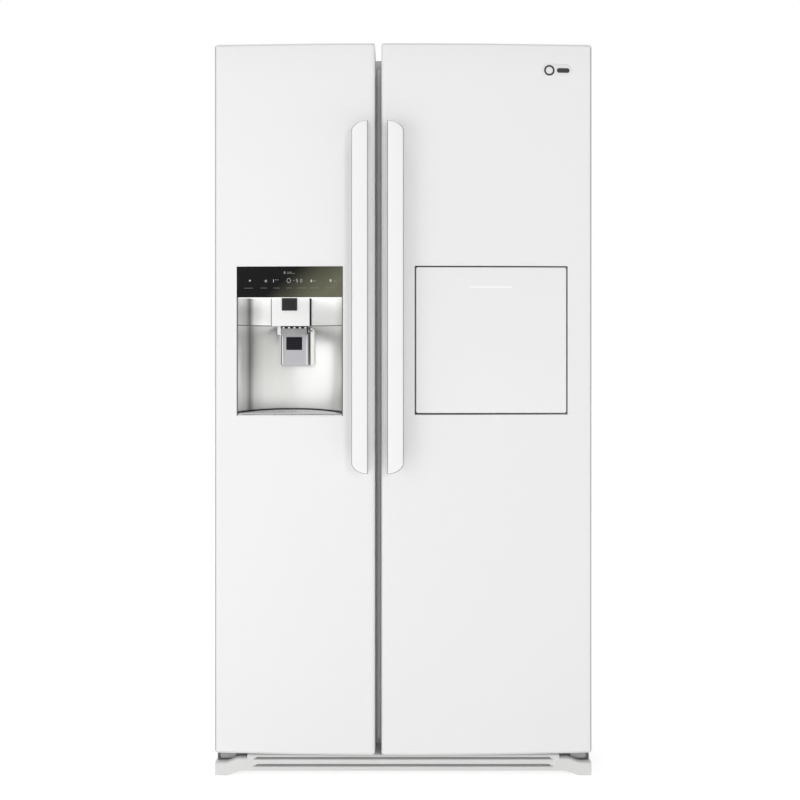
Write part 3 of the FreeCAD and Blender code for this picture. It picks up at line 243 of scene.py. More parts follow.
M = {
    "paint": surface("white_enamel", (0.8, 0.8, 0.8), 0.34, vary=0.003, patch=1.5, grain=650, bump=0.012,
                     depth=0.0002, coat=0.15, spec=0.4, uneven=0.06),
    "side_paint": surface("textured_white_enamel", (0.8, 0.8, 0.797), 0.45, vary=0.006, patch=2.0,
                          grain=900, bump=0.1, depth=0.0003, spec=0.35, uneven=0.12),
    "handle": surface("handle_enamel", (0.83, 0.83, 0.83), 0.26, vary=0.004, patch=4, grain=500, bump=0.01,
                      coat=0.3, uneven=0.08),
    "cap": surface("cap_plastic", (0.7, 0.7, 0.695), 0.45, vary=0.03, patch=9, grain=1400, bump=0.12),
    "liner": surface("liner_plastic", (0.88, 0.885, 0.88), 0.36, vary=0.004, patch=2.5, grain=900,
                     bump=0.015, depth=0.0002, spec=0.35, uneven=0.1),
    "trim": surface("trim_plastic", (0.74, 0.745, 0.745), 0.38, vary=0.012, patch=7, grain=1200, bump=0.05),
    "kick": surface("base_cover_plastic", (0.69, 0.69, 0.683), 0.42, vary=0.01, patch=6, grain=1300,
                    bump=0.06, spec=0.35),
    "gasket": surface("gasket_rubber", (0.5, 0.5, 0.495), 0.62, vary=0.05, patch=10, grain=900, bump=0.12,
                      spec=0.3),
    "foam": surface("polyurethane_foam", (0.8, 0.7, 0.46), 0.9, vary=0.08, patch=12, grain=420, bump=0.6,
                    depth=0.001, spec=0.2),
    "zinc": galvanised("galvanised_sheet"),
    "bracket": surface("bracket_steel", (0.045, 0.045, 0.05), 0.42, metal=0.6, vary=0.25, patch=30,
                       grain=700, bump=0.12, wear=(0.35, 0.35, 0.36)),
    "pin": surface("plated_pin", (0.66, 0.66, 0.65), 0.24, metal=1.0, vary=0.05, patch=40, grain=900,
                   bump=0.08),
    # The stainless finishes carry painted reflection stripes and glow at their lift strength as painted
    # light.
    "steel": surface("brushed_stainless_painted_reflection", (0.82, 0.82, 0.8), 0.3, metal=1.0, vary=0.01, patch=3.0,
                     grain=240, bump=0.006, depth=0.0001, stretch=(0.05, 0.05, 6.0), aniso=0.75, turn=0.25,
                     uneven=0.06, painted_reflection_bands=STEEL_PAINTED_REFLECTION, lift=0.09),
    "upper_steel": surface("upper_stainless_painted_reflection", (0.84, 0.84, 0.83), 0.36, metal=1.0, vary=0.01, patch=3.0,
                           grain=240, bump=0.006, depth=0.0001, stretch=(0.05, 0.05, 6.0), aniso=0.75,
                           turn=0.25, uneven=0.06, painted_reflection_bands=UPPER_PAINTED_REFLECTION, lift=0.26),
    "badge": surface("badge_inlay", (0.045, 0.045, 0.048), 0.35, metal=0.3, vary=0.08, patch=40, grain=900,
                     bump=0.04),
    # Painted shade for the doors' outer corners.
    "edge_shade": surface("door_edge_painted_shade", (0.42, 0.42, 0.42), 0.4, vary=0.02, patch=5, grain=900,
                         bump=0.04, spec=0.3),
    "rim_grey": surface("recess_rim_grey", (0.16, 0.16, 0.16), 0.4, metal=0.4, vary=0.03, patch=9,
                        grain=900, bump=0.04),
    # Painted shade: the dark line round the handles.
    "seam": surface("handle_shade_line", (0.13, 0.13, 0.13), 0.5, vary=0.05, patch=20, grain=900, bump=0.04,
                    spec=0.3),
    # Painted light: the divider and its strip glow to lighten the shaded gap between the doors.
    "mullion": surface("mullion_enamel_painted_light", (0.84, 0.84, 0.84), 0.4, vary=0.006, patch=4, grain=900, bump=0.06,
                       glow=((1, 1, 1), 0.02)),
    "mullion_lit_strip": surface("mullion_lit_strip", (0.86, 0.86, 0.86), 0.4, vary=0.006, patch=4, grain=900,
                            bump=0.06, glow=((1, 1, 1), 0.1)),
    "hood": surface("satin_metal_paint", (0.8, 0.8, 0.795), 0.3, metal=0.35, vary=0.015, patch=6, grain=500,
                    bump=0.01, coat=0.2),
    "paddle": surface("silver_plastic", (0.47, 0.47, 0.495), 0.34, metal=0.4, vary=0.02, patch=12,
                      grain=700, bump=0.01),
    "silver": surface("bright_silver_plastic", (0.72, 0.72, 0.725), 0.3, metal=0.45, vary=0.02, patch=12,
                      grain=700, bump=0.01),
    "dark": surface("dark_plastic", (0.02, 0.02, 0.022), 0.42, vary=0.12, patch=22, grain=900, bump=0.06,
                    spec=0.25),
    "smoke": surface("smoked_window", (0.012, 0.012, 0.018), 0.3, vary=0.12, patch=60, grain=500, bump=0.02,
                     spec=0.1),
    "panel": panel_gloss("control_panel_glass_painted_reflection"),
    "mark": surface("panel_marks", (0.42, 0.43, 0.42), 0.5, vary=0.05, patch=90, grain=900, bump=0.02,
                    glow=((0.8, 0.85, 0.9), 0.05)),
    "dim_mark": surface("panel_small_marks", (0.17, 0.17, 0.165), 0.5, vary=0.08, patch=90, grain=900,
                        bump=0.02),
    # Painted light: the recess ceiling and the lever channel walls glow to look lit.
    "ceiling": surface("recess_ceiling_painted_light", (0.85, 0.85, 0.85), 0.4, vary=0.01, patch=20, grain=900,
                       bump=0.03, glow=((1, 1, 1), 0.45)),
    "slot_painted_shade": surface("slot_painted_shade", (0.27, 0.27, 0.27), 0.6, vary=0.05, patch=20, grain=900, bump=0.05),
    "hinge_grey": surface("hinge_grey", (0.3, 0.3, 0.3), 0.36, metal=0.5, vary=0.08, patch=40, grain=900,
                          bump=0.06),
    "groove": surface("groove_grey", (0.6, 0.6, 0.6), 0.5, vary=0.04, patch=20, grain=900, bump=0.05),
    "push_highlight": surface("push_line_painted_highlight", (0.94, 0.94, 0.94), 0.2, vary=0.01, patch=20, grain=900,
                           bump=0.01, glow=((1, 1, 1), 0.12)),
    "chrome": surface("soft_chrome", (0.78, 0.78, 0.78), 0.16, metal=1.0, vary=0.03, patch=12, grain=400,
                      bump=0.03),
    "shelf_glass": clear("shelf_glass", (0.82, 0.92, 0.89), 0.03, 0.92),
    "bin": see_through("clear_bin_plastic", (0.86, 0.91, 0.94), 0.1, 0.34),
    "crisper": see_through("frosted_drawer_plastic", (0.88, 0.92, 0.945), 0.3, 0.66),
    "lens": surface("lamp_lens", (0.9, 0.9, 0.86), 0.35, vary=0.02, patch=20, grain=300, bump=0.08,
                    glow=((1.0, 0.97, 0.9), 0.6)),
    "black_metal": surface("compressor_paint", (0.02, 0.02, 0.022), 0.35, metal=0.1, vary=0.2, patch=12,
                           grain=260, bump=0.12, coat=0.2),
    "rear": surface("rear_cover_board", (0.36, 0.365, 0.37), 0.6, vary=0.03, patch=6, grain=900, bump=0.15),
    "fins": surface("fin_aluminium", (0.76, 0.77, 0.78), 0.35, metal=1.0, vary=0.06, patch=14, grain=500,
                    bump=0.1),
    "brass": surface("valve_brass", (0.72, 0.56, 0.28), 0.3, metal=1.0, vary=0.08, patch=30, grain=700,
                     bump=0.08),
    "foot": surface("foot_plastic", (0.09, 0.09, 0.095), 0.5, vary=0.1, patch=30, grain=1200, bump=0.15),
}

NODE_FINISH = {
    "cabinet_panels": "side_paint", "front_frame": "mullion", "insulation_foam": "foam",
    "freezer_liner": "liner", "fridge_liner": "liner", "back_panel": "zinc", "base_plate": "zinc",
    "base_rails": "zinc", "levelling_leg_left": "foot", "levelling_leg_right": "foot",
    "rear_roller_left": "foot", "rear_roller_right": "foot", "compressor": "black_metal",
    "condenser": "fins", "fan_shroud": "dark", "condenser_fan": "dark", "machine_room_cover": "rear",
    "water_valve": "brass", "mains_inlet": "dark", "freezer_shelves": "shelf_glass",
    "fridge_shelves": "shelf_glass", "freezer_drawer": "crisper", "crisper_lower": "crisper",
    "crisper_upper": "crisper", "ice_bucket": "crisper", "ice_maker": "trim", "evaporator": "fins",
    "evaporator_cover": "liner", "compartment_lamps": "lens", "lower_hinges": "bracket",
    "upper_hinges": "pin", "hinge_covers": "side_paint", "base_cover": "kick", "dispenser_housing": "steel",
    "dispenser_control_panel": "panel", "dispenser_hood": "hood", "ice_chute": "dark", "chute_flap": "dark",
    "dispenser_lever": "paddle", "drip_tray": "paddle", "name_plate": "chrome", "home_bar_frame": "gasket",
    "home_bar_door": "paint", "home_bar_inner": "liner", "home_bar_stays": "pin", "dairy_lid": "bin",
}
for side in DOORS:
    NODE_FINISH.update({
        f"{side}_door_skin": "paint", f"{side}_door_core": "foam", f"{side}_door_caps": "cap",
        f"{side}_door_gasket": "gasket", f"{side}_door_inner_liner": "liner", f"{side}_door_handle": "handle",
        f"{side}_door_bins": "bin",
    })
BODY_OF = {node: body for body, nodes in frame["record"]["behaviour"]["bodies"].items() for node in nodes}
for node, finish in NODE_FINISH.items():
    data = frame["nodes"][node].data
    data.materials.clear()
    data.materials.append(M[finish])


# ---------------------------------------------------------------- mesh tools
def piece(name, shape, finish, node, hides=False, smooth=32, merge=True):
    """A mesh piece from one (vertices, faces) pair or a list of pairs, in millimetres.

    It rides with a CAD node's body and, if asked, stands for it.
    """
    verts, faces = join_parts(shape) if isinstance(shape, list) else shape
    mesh = bpy.data.meshes.new(name)
    mesh.from_pydata([tuple(round(part * MM, 7) for part in v) for v in verts], [], faces)
    if merge:
        work = bmesh.new()
        work.from_mesh(mesh)
        bmesh.ops.remove_doubles(work, verts=work.verts, dist=1e-6)
        bmesh.ops.recalc_face_normals(work, faces=work.faces)
        work.to_mesh(mesh)
        work.free()
    mesh.shade_smooth()
    mesh.set_sharp_from_angle(angle=math.radians(smooth))
    mesh.materials.append(M[finish])
    obj = bpy.data.objects.new(name, mesh)
    scene.collection.objects.link(obj)
    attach(obj, BODY_OF[node])
    if hides:
        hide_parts(node)
    return obj


def loop(a_low, a_high, b_low, b_high, radius, steps=6):
    """Closed rounded rectangle in two coordinates, as a list of pairs."""
    radius = max(min(radius, (a_high - a_low) / 2 - 1e-3, (b_high - b_low) / 2 - 1e-3), 1e-3)
    corners = ((a_high - radius, b_high - radius, 0), (a_low + radius, b_high - radius, 90),
               (a_low + radius, b_low + radius, 180), (a_high - radius, b_low + radius, 270))
    points = []
    for a, b, start in corners:
        for i in range(steps + 1):
            angle = math.radians(start + 90 * i / steps)
            points.append((a + radius * math.cos(angle), b + radius * math.sin(angle)))
    return points


def clamp(value):
    return min(max(value, 0.0), 1.0)


def ease(value):
    """Smooth rise from 0 to 1."""
    value = clamp(value)
    return value * value * (3 - 2 * value)


def quarter(steps, first=0):
    """Sine and cosine at even steps of a quarter turn."""
    angles = [math.pi / 2 * i / steps for i in range(first, steps + 1)]
    return [(math.sin(angle), math.cos(angle)) for angle in angles]


def between(low, high, count):
    """Places from low to high that crowd towards both ends."""
    return [low + (high - low) * (1 - math.cos(math.pi * i / count)) / 2 for i in range(count + 1)]


def divided(pairs, columns, longest=50):
    """An outline with more points along its long level runs."""
    points = []
    for i, (x, z) in enumerate(pairs):
        step = pairs[(i + 1) % len(pairs)][0] - x
        points.append((x, z))
        if abs(step) > longest:
            points += [(x + step * k / columns, z) for k in range(1, columns)]
    return points


AXES = {"x": lambda a, b, c: (c, a, b), "y": lambda a, b, c: (a, c, b), "z": lambda a, b, c: (a, b, c)}


def loft_mesh(rings, start=True, end=True, closed=False):
    """Vertices and quads through equal rings of points, with flat ends."""
    count = len(rings[0])
    verts = [point for ring in rings for point in ring]
    faces = []
    pairs = list(zip(range(len(rings) - 1), range(1, len(rings))))
    if closed:
        pairs.append((len(rings) - 1, 0))
    for low, high in pairs:
        for i in range(count):
            j = (i + 1) % count
            faces.append((low * count + i, low * count + j, high * count + j, high * count + i))
    if start and not closed:
        faces.append(tuple(range(count))[::-1])
    if end and not closed:
        faces.append(tuple((len(rings) - 1) * count + i for i in range(count)))
    return verts, faces


def join_parts(parts):
    """One vertex and face list from several."""
    verts, faces = [], []
    for part_verts, part_faces in parts:
        base = len(verts)
        verts += [tuple(v) for v in part_verts]
        faces += [tuple(i + base for i in face) for face in part_faces]
    return verts, faces


def soft_block(low, high, radius, steps=3, along="z", corner=None):
    """A block with rounded edges all round; corner rounds the four long edges more."""
    a, b, c = {"x": (1, 2, 0), "y": (0, 2, 1), "z": (0, 1, 2)}[along]
    corner = radius if corner is None else corner
    rings = []
    for end, sign in ((low[c], 1), (high[c], -1)):
        section = []
        for sine, cosine in quarter(steps):
            inset = radius * (1 - sine)
            place = end + sign * radius * (1 - cosine)
            pairs = loop(low[a] + inset, high[a] - inset, low[b] + inset, high[b] - inset,
                         max(corner - inset, 0.2), 5)
            section.append([AXES[along](p, q, place) for p, q in pairs])
        rings += section if sign == 1 else section[::-1]
    return loft_mesh(rings)


def slab(outline, low_z, high_z):
    """A flat plate with an outline of (x, y) pairs."""
    return loft_mesh([[(x, y, z) for x, y in outline] for z in (low_z, high_z)])


def block_row(count, step, low, high, radius, **shape):
    """Equal soft blocks, each one step (x, y, z) on from the last."""
    step = Vector(step)
    low, high = Vector(low), Vector(high)
    return [soft_block(low + i * step, high + i * step, radius, **shape) for i in range(count)]


def lathe_mesh(profile, at, along="z", steps=32, bored=False):
    """(radius, height) points turned about an axis through at; a bored shape closes on itself."""
    rings = []
    for radius, height in profile:
        ring = []
        for i in range(steps):
            angle = 2 * math.pi * i / steps
            local = AXES[along](radius * math.cos(angle), radius * math.sin(angle), height)
            ring.append(tuple(Vector(at) + Vector(local)))
        rings.append(ring)
    return loft_mesh(rings, closed=bored)


def sheet_mesh(xs, zs, front, back):
    """A thin upright sheet over a grid, with one depth function for each face."""
    rows, columns = len(zs), len(xs)
    verts = [(x, front(x, z), z) for z in zs for x in xs] + [(x, back(x, z), z) for z in zs for x in xs]
    half = rows * columns
    faces = []
    for j in range(rows - 1):
        for i in range(columns - 1):
            a = j * columns + i
            quad = (a, a + 1, a + columns + 1, a + columns)
            faces += [quad, tuple(k + half for k in quad[::-1])]
    rim = list(range(columns)) + [j * columns + columns - 1 for j in range(1, rows)]
    rim += [half - 1 - i for i in range(1, columns)] + [(rows - 1 - j) * columns for j in range(1, rows - 1)]
    faces += [(rim[i], rim[i - 1], rim[i - 1] + half, rim[i] + half) for i in range(len(rim))]
    return verts, faces


def screw_heads(name, places, radius, node):
    """Pan heads with a driver recess, facing the back."""
    profile = [(radius, -0.6), (radius, 0.2), (radius * 0.86, 0.6), (radius * 0.6, 0.85),
               (radius * 0.38, 0.9), (radius * 0.30, 0.1)]
    piece(name, [lathe_mesh(profile, place, "y", 12) for place in places], "pin", node, smooth=40)


def tub_mesh(low, high, corner, wall, edge):
    """An open-topped tub with round corners, a round bottom edge, a rolled rim and a flat floor."""
    steps, lip = 4, wall / 2

    def ring(inset, z, radius):
        pairs = loop(low[0] + inset, high[0] - inset, low[1] + inset, high[1] - inset, radius, 6)
        return [(x, y, z) for x, y in pairs]

    rings = [ring(edge * (1 - sine), low[2] + edge * (1 - cosine), corner) for sine, cosine in quarter(steps)]
    for i in range(steps * 2 + 1):
        angle = math.pi * i / (steps * 2)
        rings.append(ring(lip * (1 - math.cos(angle)), high[2] - lip + lip * math.sin(angle), corner))
    rings += [ring(wall + edge * (1 - cosine), low[2] + wall + edge * (1 - sine), max(corner - wall, 2))
              for sine, cosine in quarter(steps)]
    return loft_mesh(rings)


# ---------------------------------------------------------------- door skins and caps
def door_outline(left, right, back, marks=()):
    """Points and inward normals of a door's outline from its back left edge round to its back right edge."""
    side_steps, front_steps = 8, 48
    first, last = left + EDGE_ROUND, right - EDGE_ROUND
    left_y, right_y = front_y(first) + EDGE_ROUND, front_y(last) + EDGE_ROUND
    turn = quarter(8)
    outline = [(left, back + (left_y - back) * i / side_steps, 1, 0) for i in range(side_steps)]
    outline += [(first - EDGE_ROUND * cosine, left_y - EDGE_ROUND * sine, cosine, sine)
                for sine, cosine in turn[:-1]]
    for x in sorted({first + (last - first) * i / front_steps for i in range(front_steps + 1)} | set(marks)):
        inward = Vector((-x, APEX + ARC - front_y(x))).normalized()
        outline.append((x, front_y(x), inward.x, inward.y))
    outline += [(last + EDGE_ROUND * sine, right_y - EDGE_ROUND * cosine, -sine, cosine)
                for sine, cosine in turn[1:]]
    outline += [(right, right_y + (back - right_y) * i / side_steps, -1, 0) for i in range(1, side_steps + 1)]
    return [place[:2] for place in outline], [place[2:] for place in outline]


def door_skin(side, hole):
    """Pressed steel skin with a rolled edge at both ends and one window."""
    low, high = DOORS[side]
    hole_low, hole_high = hole
    points, normals = door_outline(low.x, high.x, high.y, (hole_low.x, hole_high.x))
    roll = 1.6
    levels = [(low.z + roll * (1 - cosine), roll * (1 - sine)) for sine, cosine in quarter(4)]
    span = high.z - low.z
    levels += [(hole_low.z, 0.0), (hole_high.z, 0.0)] + [(low.z + span * i / 24, 0.0) for i in range(1, 24)]
    levels += [(high.z - (z - low.z), inset) for z, inset in levels[:5]]
    levels = sorted(set(levels))
    count = len(points)
    verts = [(x + nx * (inset + extra), y + ny * (inset + extra), z)
             for extra in (0, SHEET) for z, inset in levels for (x, y), (nx, ny) in zip(points, normals)]
    inner = len(verts) // 2
    faces = []
    for row in range(len(levels) - 1):
        middle_z = (levels[row][0] + levels[row + 1][0]) / 2
        for i in range(count - 1):
            middle_x = (points[i][0] + points[i + 1][0]) / 2
            in_front = points[i][1] < APEX + SAG + EDGE_ROUND
            if in_front and hole_low.x < middle_x < hole_high.x and hole_low.z < middle_z < hole_high.z:
                continue
            a = row * count + i
            faces.append((a, a + count, a + count + 1, a + 1))
    edges = {}
    for face in faces:
        for pair in zip(face, face[1:] + face[:1]):
            edges.setdefault(tuple(sorted(pair)), []).append(pair)
    rims = [(b, a, a + inner, b + inner) for (a, b), *others in edges.values() if not others]
    faces += [tuple(i + inner for i in face[::-1]) for face in faces] + rims
    piece(f"{side}_skin_pressed", (verts, faces), "paint", f"{side}_door_skin", hides=True, smooth=25)


def door_caps(side):
    """Moulded end caps with their hinge bushes."""
    low, high = DOORS[side]
    cap_low, cap_high = box(f"{side}_door_caps")
    points, normals = door_outline(low.x, high.x, high.y)
    hinge_x = -HINGE_X if side == "freezer" else HINGE_X
    parts = []
    for outer_z, inner_z, sign in ((cap_low.z, low.z, 1), (cap_high.z, high.z, -1)):
        steps = ((outer_z, 1.6), (outer_z + sign * 0.5, 0.9), (outer_z + sign * 1.2, 0.5), (inner_z, 0.5))
        parts.append(loft_mesh([[(x + nx * inset, y + ny * inset, z)
                                 for (x, y), (nx, ny) in zip(points, normals)] for z, inset in steps]))
        tube = [(radius, outer_z + sign * deep) for radius, deep in ((9, 1), (9, 20), (5.05, 20), (5.05, 1))]
        verts, faces = lathe_mesh(tube, (hinge_x, HINGE_Y, 0), "z", 24)
        parts.append((verts, faces[:-2]))
    piece(f"{side}_caps_moulded", parts, "cap", f"{side}_door_caps", hides=True, smooth=40)


def door_edge(side):
    """Painted shade: a grey strip down the outer corner of a door, for the rounded edge turning away from the
    light.
    """
    low, high = DOORS[side]
    outer = -1 if side == "freezer" else 1
    edge_x = low.x if outer < 0 else high.x
    centre_x = edge_x - outer * EDGE_ROUND
    start_y = front_y(centre_x) + EDGE_ROUND

    def arc(radius):
        angles = [math.radians(-8 + 62 * i / 8) for i in range(9)]
        return [(centre_x + outer * radius * math.cos(angle), start_y - radius * math.sin(angle))
                for angle in angles]

    # Painted shade: grey strip over part of the rounded corner.
    strip = slab(arc(EDGE_ROUND + 0.22) + arc(EDGE_ROUND - 0.2)[::-1], low.z + 1.5, high.z - 1.5)
    piece(f"{side}_door_edge", strip, "edge_shade", f"{side}_door_skin")


# ---------------------------------------------------------------- handles
def handle(side):
    """Flat white bow handle: soft edges, curved feet, and a long curve that cuts its outer corners."""
    node = f"{side}_door_handle"
    low, high = box(node)
    outer_is_left = side == "freezer"
    front = low.y
    gap_y = front + 17
    foot, bend = 34, 78
    nose, cut_x, cut_z, power = 4, 33, 23, 1.7
    middle, half = (low.z + high.z) / 2, (high.z - low.z) / 2
    stations = [0, 0.1, 0.35, 0.8, 1.4, 2.1, 3, 4, 5.2, 6.6, 8.2, 10, 12, 14.5, 17, 19.5, 21.5, 23, 27, 31,
                34, 38, 43, 48, 53, 58, 63, 68, 73, 78, 90, 130, 200, 280, 360]
    depths = [d for d in stations if d < half]
    places = [(low.z + d, d) for d in depths] + [(middle, half)] + [(high.z - d, d) for d in depths[::-1]]
    seat = front_y((low.x + high.x) / 2) + 1.2
    rings = []
    for z, d in places:
        face_y = front
        if d < nose:
            face_y += nose - math.sqrt(nose ** 2 - (nose - d) ** 2)
        side_cut = 0.0
        if d < cut_z:
            side_cut = cut_x * (1 - (1 - (1 - d / cut_z) ** power) ** (1 / power))
        back_y = seat + (gap_y - seat) * ease((d - foot) / (bend - foot))
        nip = 0.4 if d < 1 else 0.0
        left = low.x + (side_cut if outer_is_left else nip)
        right = high.x - (nip if outer_is_left else side_cut)
        soft = min(3.6, (right - left) / 2.2)
        rings.append([(x, y, z) for x, y in loop(left, right, face_y, back_y, soft, 7)])
    piece(f"{side}_handle_bar", loft_mesh(rings), "handle", node, hides=True, smooth=50)
    # Painted shade: a dark line standing proud round the bar's sides, in place of the shaded outline of its
    # rounded edges.
    proud, shade_line_y = 1.1, front + 7.5
    seam = []
    for ring in rings:
        z = middle + (ring[0][2] - middle) * (half + proud) / half
        left, right = min(x for x, _, _ in ring) - proud, max(x for x, _, _ in ring) + proud
        soft = min(0.6, (right - left) / 2.2)
        seam.append([(x, y, z) for x, y in loop(left, right, shade_line_y, shade_line_y + 1.6, soft, 2)])
    piece(f"{side}_handle_shade_line", loft_mesh(seam), "seam", node)


# ---------------------------------------------------------------- ice dispenser
DISP_LOW, DISP_HIGH = box("dispenser_housing")
PANEL_LOW, PANEL_HIGH = box("dispenser_control_panel")
DISP_X = (DISP_LOW.x + DISP_HIGH.x) / 2
SCOOP_RADIUS = 156
SCOOP_BACK = -265
SCOOP_Y = SCOOP_BACK - SCOOP_RADIUS


def scoop_y(x, radius=SCOOP_RADIUS):
    return SCOOP_Y + math.sqrt(radius ** 2 - (x - DISP_X) ** 2)


def tray_slope(y):
    """Drop of the drip tray's top, level at its back and lowest at its front lip."""
    deepest, front = SCOOP_BACK - 2, box("drip_tray")[0].y + 2
    return -5.5 * clamp((deepest - y) / (deepest - front))


def recess():
    """Brushed concave back in two pressings with a seam, between narrow side rims, over a shaped floor."""
    low, high = DISP_LOW, DISP_HIGH
    rim = 2.2
    seam = box("dispenser_hood")[0].z + 3.5
    floor = low.z + 3
    left, right = low.x + rim, high.x - rim
    xs = between(left, right, 64)

    outward = [Vector((x - DISP_X, scoop_y(x) - SCOOP_Y)).normalized() for x in xs]

    def pressing(z_low, z_high, lift):
        def line(inset):
            return [(x + way.x * inset, scoop_y(x) + way.y * inset) for x, way in zip(xs, outward)]

        ends = ((0, 1.2), (0.5, 0.35), (1.3, 0.0))
        levels = [(z_low + rise, inset) for rise, inset in ends]
        levels += [(z_high - rise, inset) for rise, inset in ends[::-1]]
        return loft_mesh([[(x, y, z) for x, y in line(inset - lift) + line(2)[::-1]] for z, inset in levels])

    piece("recess_back", pressing(floor, seam, 0.0), "steel", "dispenser_housing", hides=True, smooth=30)
    upper = pressing(seam + 1.6, PANEL_LOW.z + 2, 0.5)
    piece("recess_upper", upper, "upper_steel", "dispenser_housing", smooth=30)
    backing = [(x, scoop_y(x) + 1.0) for x in xs] + [(x, scoop_y(x) + 1.9) for x in xs[::-1]]
    piece("recess_seam", slab(backing, seam - 1.2, seam + 2.8), "rim_grey", "dispenser_housing")
    # Ceiling plate, glowing as painted light.
    ceiling = [(x, scoop_y(x) + 1) for x in xs] + [(x, front_y(x) + 3) for x in xs[::-1]]
    plate = slab(ceiling, PANEL_LOW.z - 1.2, PANEL_LOW.z - 0.2)
    piece("recess_ceiling", plate, "ceiling", "dispenser_housing")
    parts = []
    for x_low, x_high in ((low.x, left), (right, high.x)):
        x = (x_low + x_high) / 2
        parts.append(soft_block((x_low, front_y(x) + 0.4, low.z), (x_high, high.y, high.z), 0.6))
    piece("recess_rims", parts, "rim_grey", "dispenser_housing")
    floor_rings = []
    for z, inset in ((low.z, 0.0), (floor - 0.8, 0.0), (floor, 0.8)):
        ring = [(x, scoop_y(x) + 1, z) for x in xs]
        ring += [(x, front_y(x) + 0.5 + inset, z) for x in xs[::-1]]
        floor_rings.append(ring)
    piece("recess_floor", loft_mesh(floor_rings), "silver", "dispenser_housing")
    tray_top = box("drip_tray")[1].z
    reach = 122

    # Painted shadow: a dark line along the tray's back edge, in the gap between tray and scoop.
    def tray_gap_line(radius):
        return [(x, scoop_y(x, radius), tray_slope(scoop_y(x))) for x in xs]

    tray_gap_shadow = [(x, y + 0.5, drop) for x, y, drop in tray_gap_line(SCOOP_RADIUS)]
    tray_gap_shadow += tray_gap_line(SCOOP_RADIUS - 2.5)[::-1]
    tray_gap_shadow = [(x, y if abs(x - DISP_X) < reach else min(y, scoop_y(x)), drop) for x, y, drop in tray_gap_shadow]
    line = loft_mesh([[(x, y, tray_top + rise + drop) for x, y, drop in tray_gap_shadow] for rise in (0.3, 3.0)])
    piece("tray_gap_painted_shadow", line, "dark", "dispenser_housing")
    lever_low, lever_high = box("dispenser_lever")
    # Painted shadow and light: dark strips stand in for the shaded gaps beside the paddle, and the channel
    # walls behind them glow.
    edges, walls = [], []
    for x, wide in ((lever_low.x - 2.4, 2.0), (lever_high.x + 0.4, 3.0)):
        front = lever_low.y + 4.5
        edges.append(soft_block((x, front, lever_low.z + 2), (x + wide, front + 2.5, lever_high.z + 3), 0.6))
        walls.append(soft_block((x + 0.3, front + 2, lever_low.z + 2.3),
                                (x + wide - 0.3, scoop_y(x + wide / 2) + 1, lever_high.z + 2.7), 0.6))
    piece("lever_shadow_strips", edges, "dark", "dispenser_housing")
    piece("lever_lit_walls", walls, "ceiling", "dispenser_housing")
    pin_line = [(2.5, 0), (2.5, lever_high.x - lever_low.x + 12)]
    pin = lathe_mesh(pin_line, (lever_low.x - 4, LEVER_Y, LEVER_Z), "x", 20)
    piece("lever_pin", pin, "bracket", "dispenser_housing")


def control_panel():
    """Black glass control strip with soft edges that follows the door front."""
    low, high = PANEL_LOW, PANEL_HIGH
    edge = 1.0
    xs = sorted({low.x + (high.x - low.x) * i / 30 for i in range(31)} | {low.x + 0.3, low.x + edge,
                                                                          high.x - edge, high.x - 0.3})
    zs = [low.z, low.z + 0.3, low.z + edge, (low.z + high.z) / 2, high.z - edge, high.z - 0.3, high.z]

    def drop(distance):
        return edge - math.sqrt(max(edge ** 2 - (edge - distance) ** 2, 0.0)) if distance < edge else 0.0

    rings = []
    for z in zs:
        fall = drop(min(z - low.z, high.z - z))
        ring = [(x, front_y(x) + max(fall, drop(min(x - low.x, high.x - x))), z) for x in xs]
        ring += [(x, high.y, z) for x in xs[::-1]]
        rings.append(ring)
    piece("control_strip", loft_mesh(rings), "panel", "dispenser_control_panel", hides=True, smooth=45)


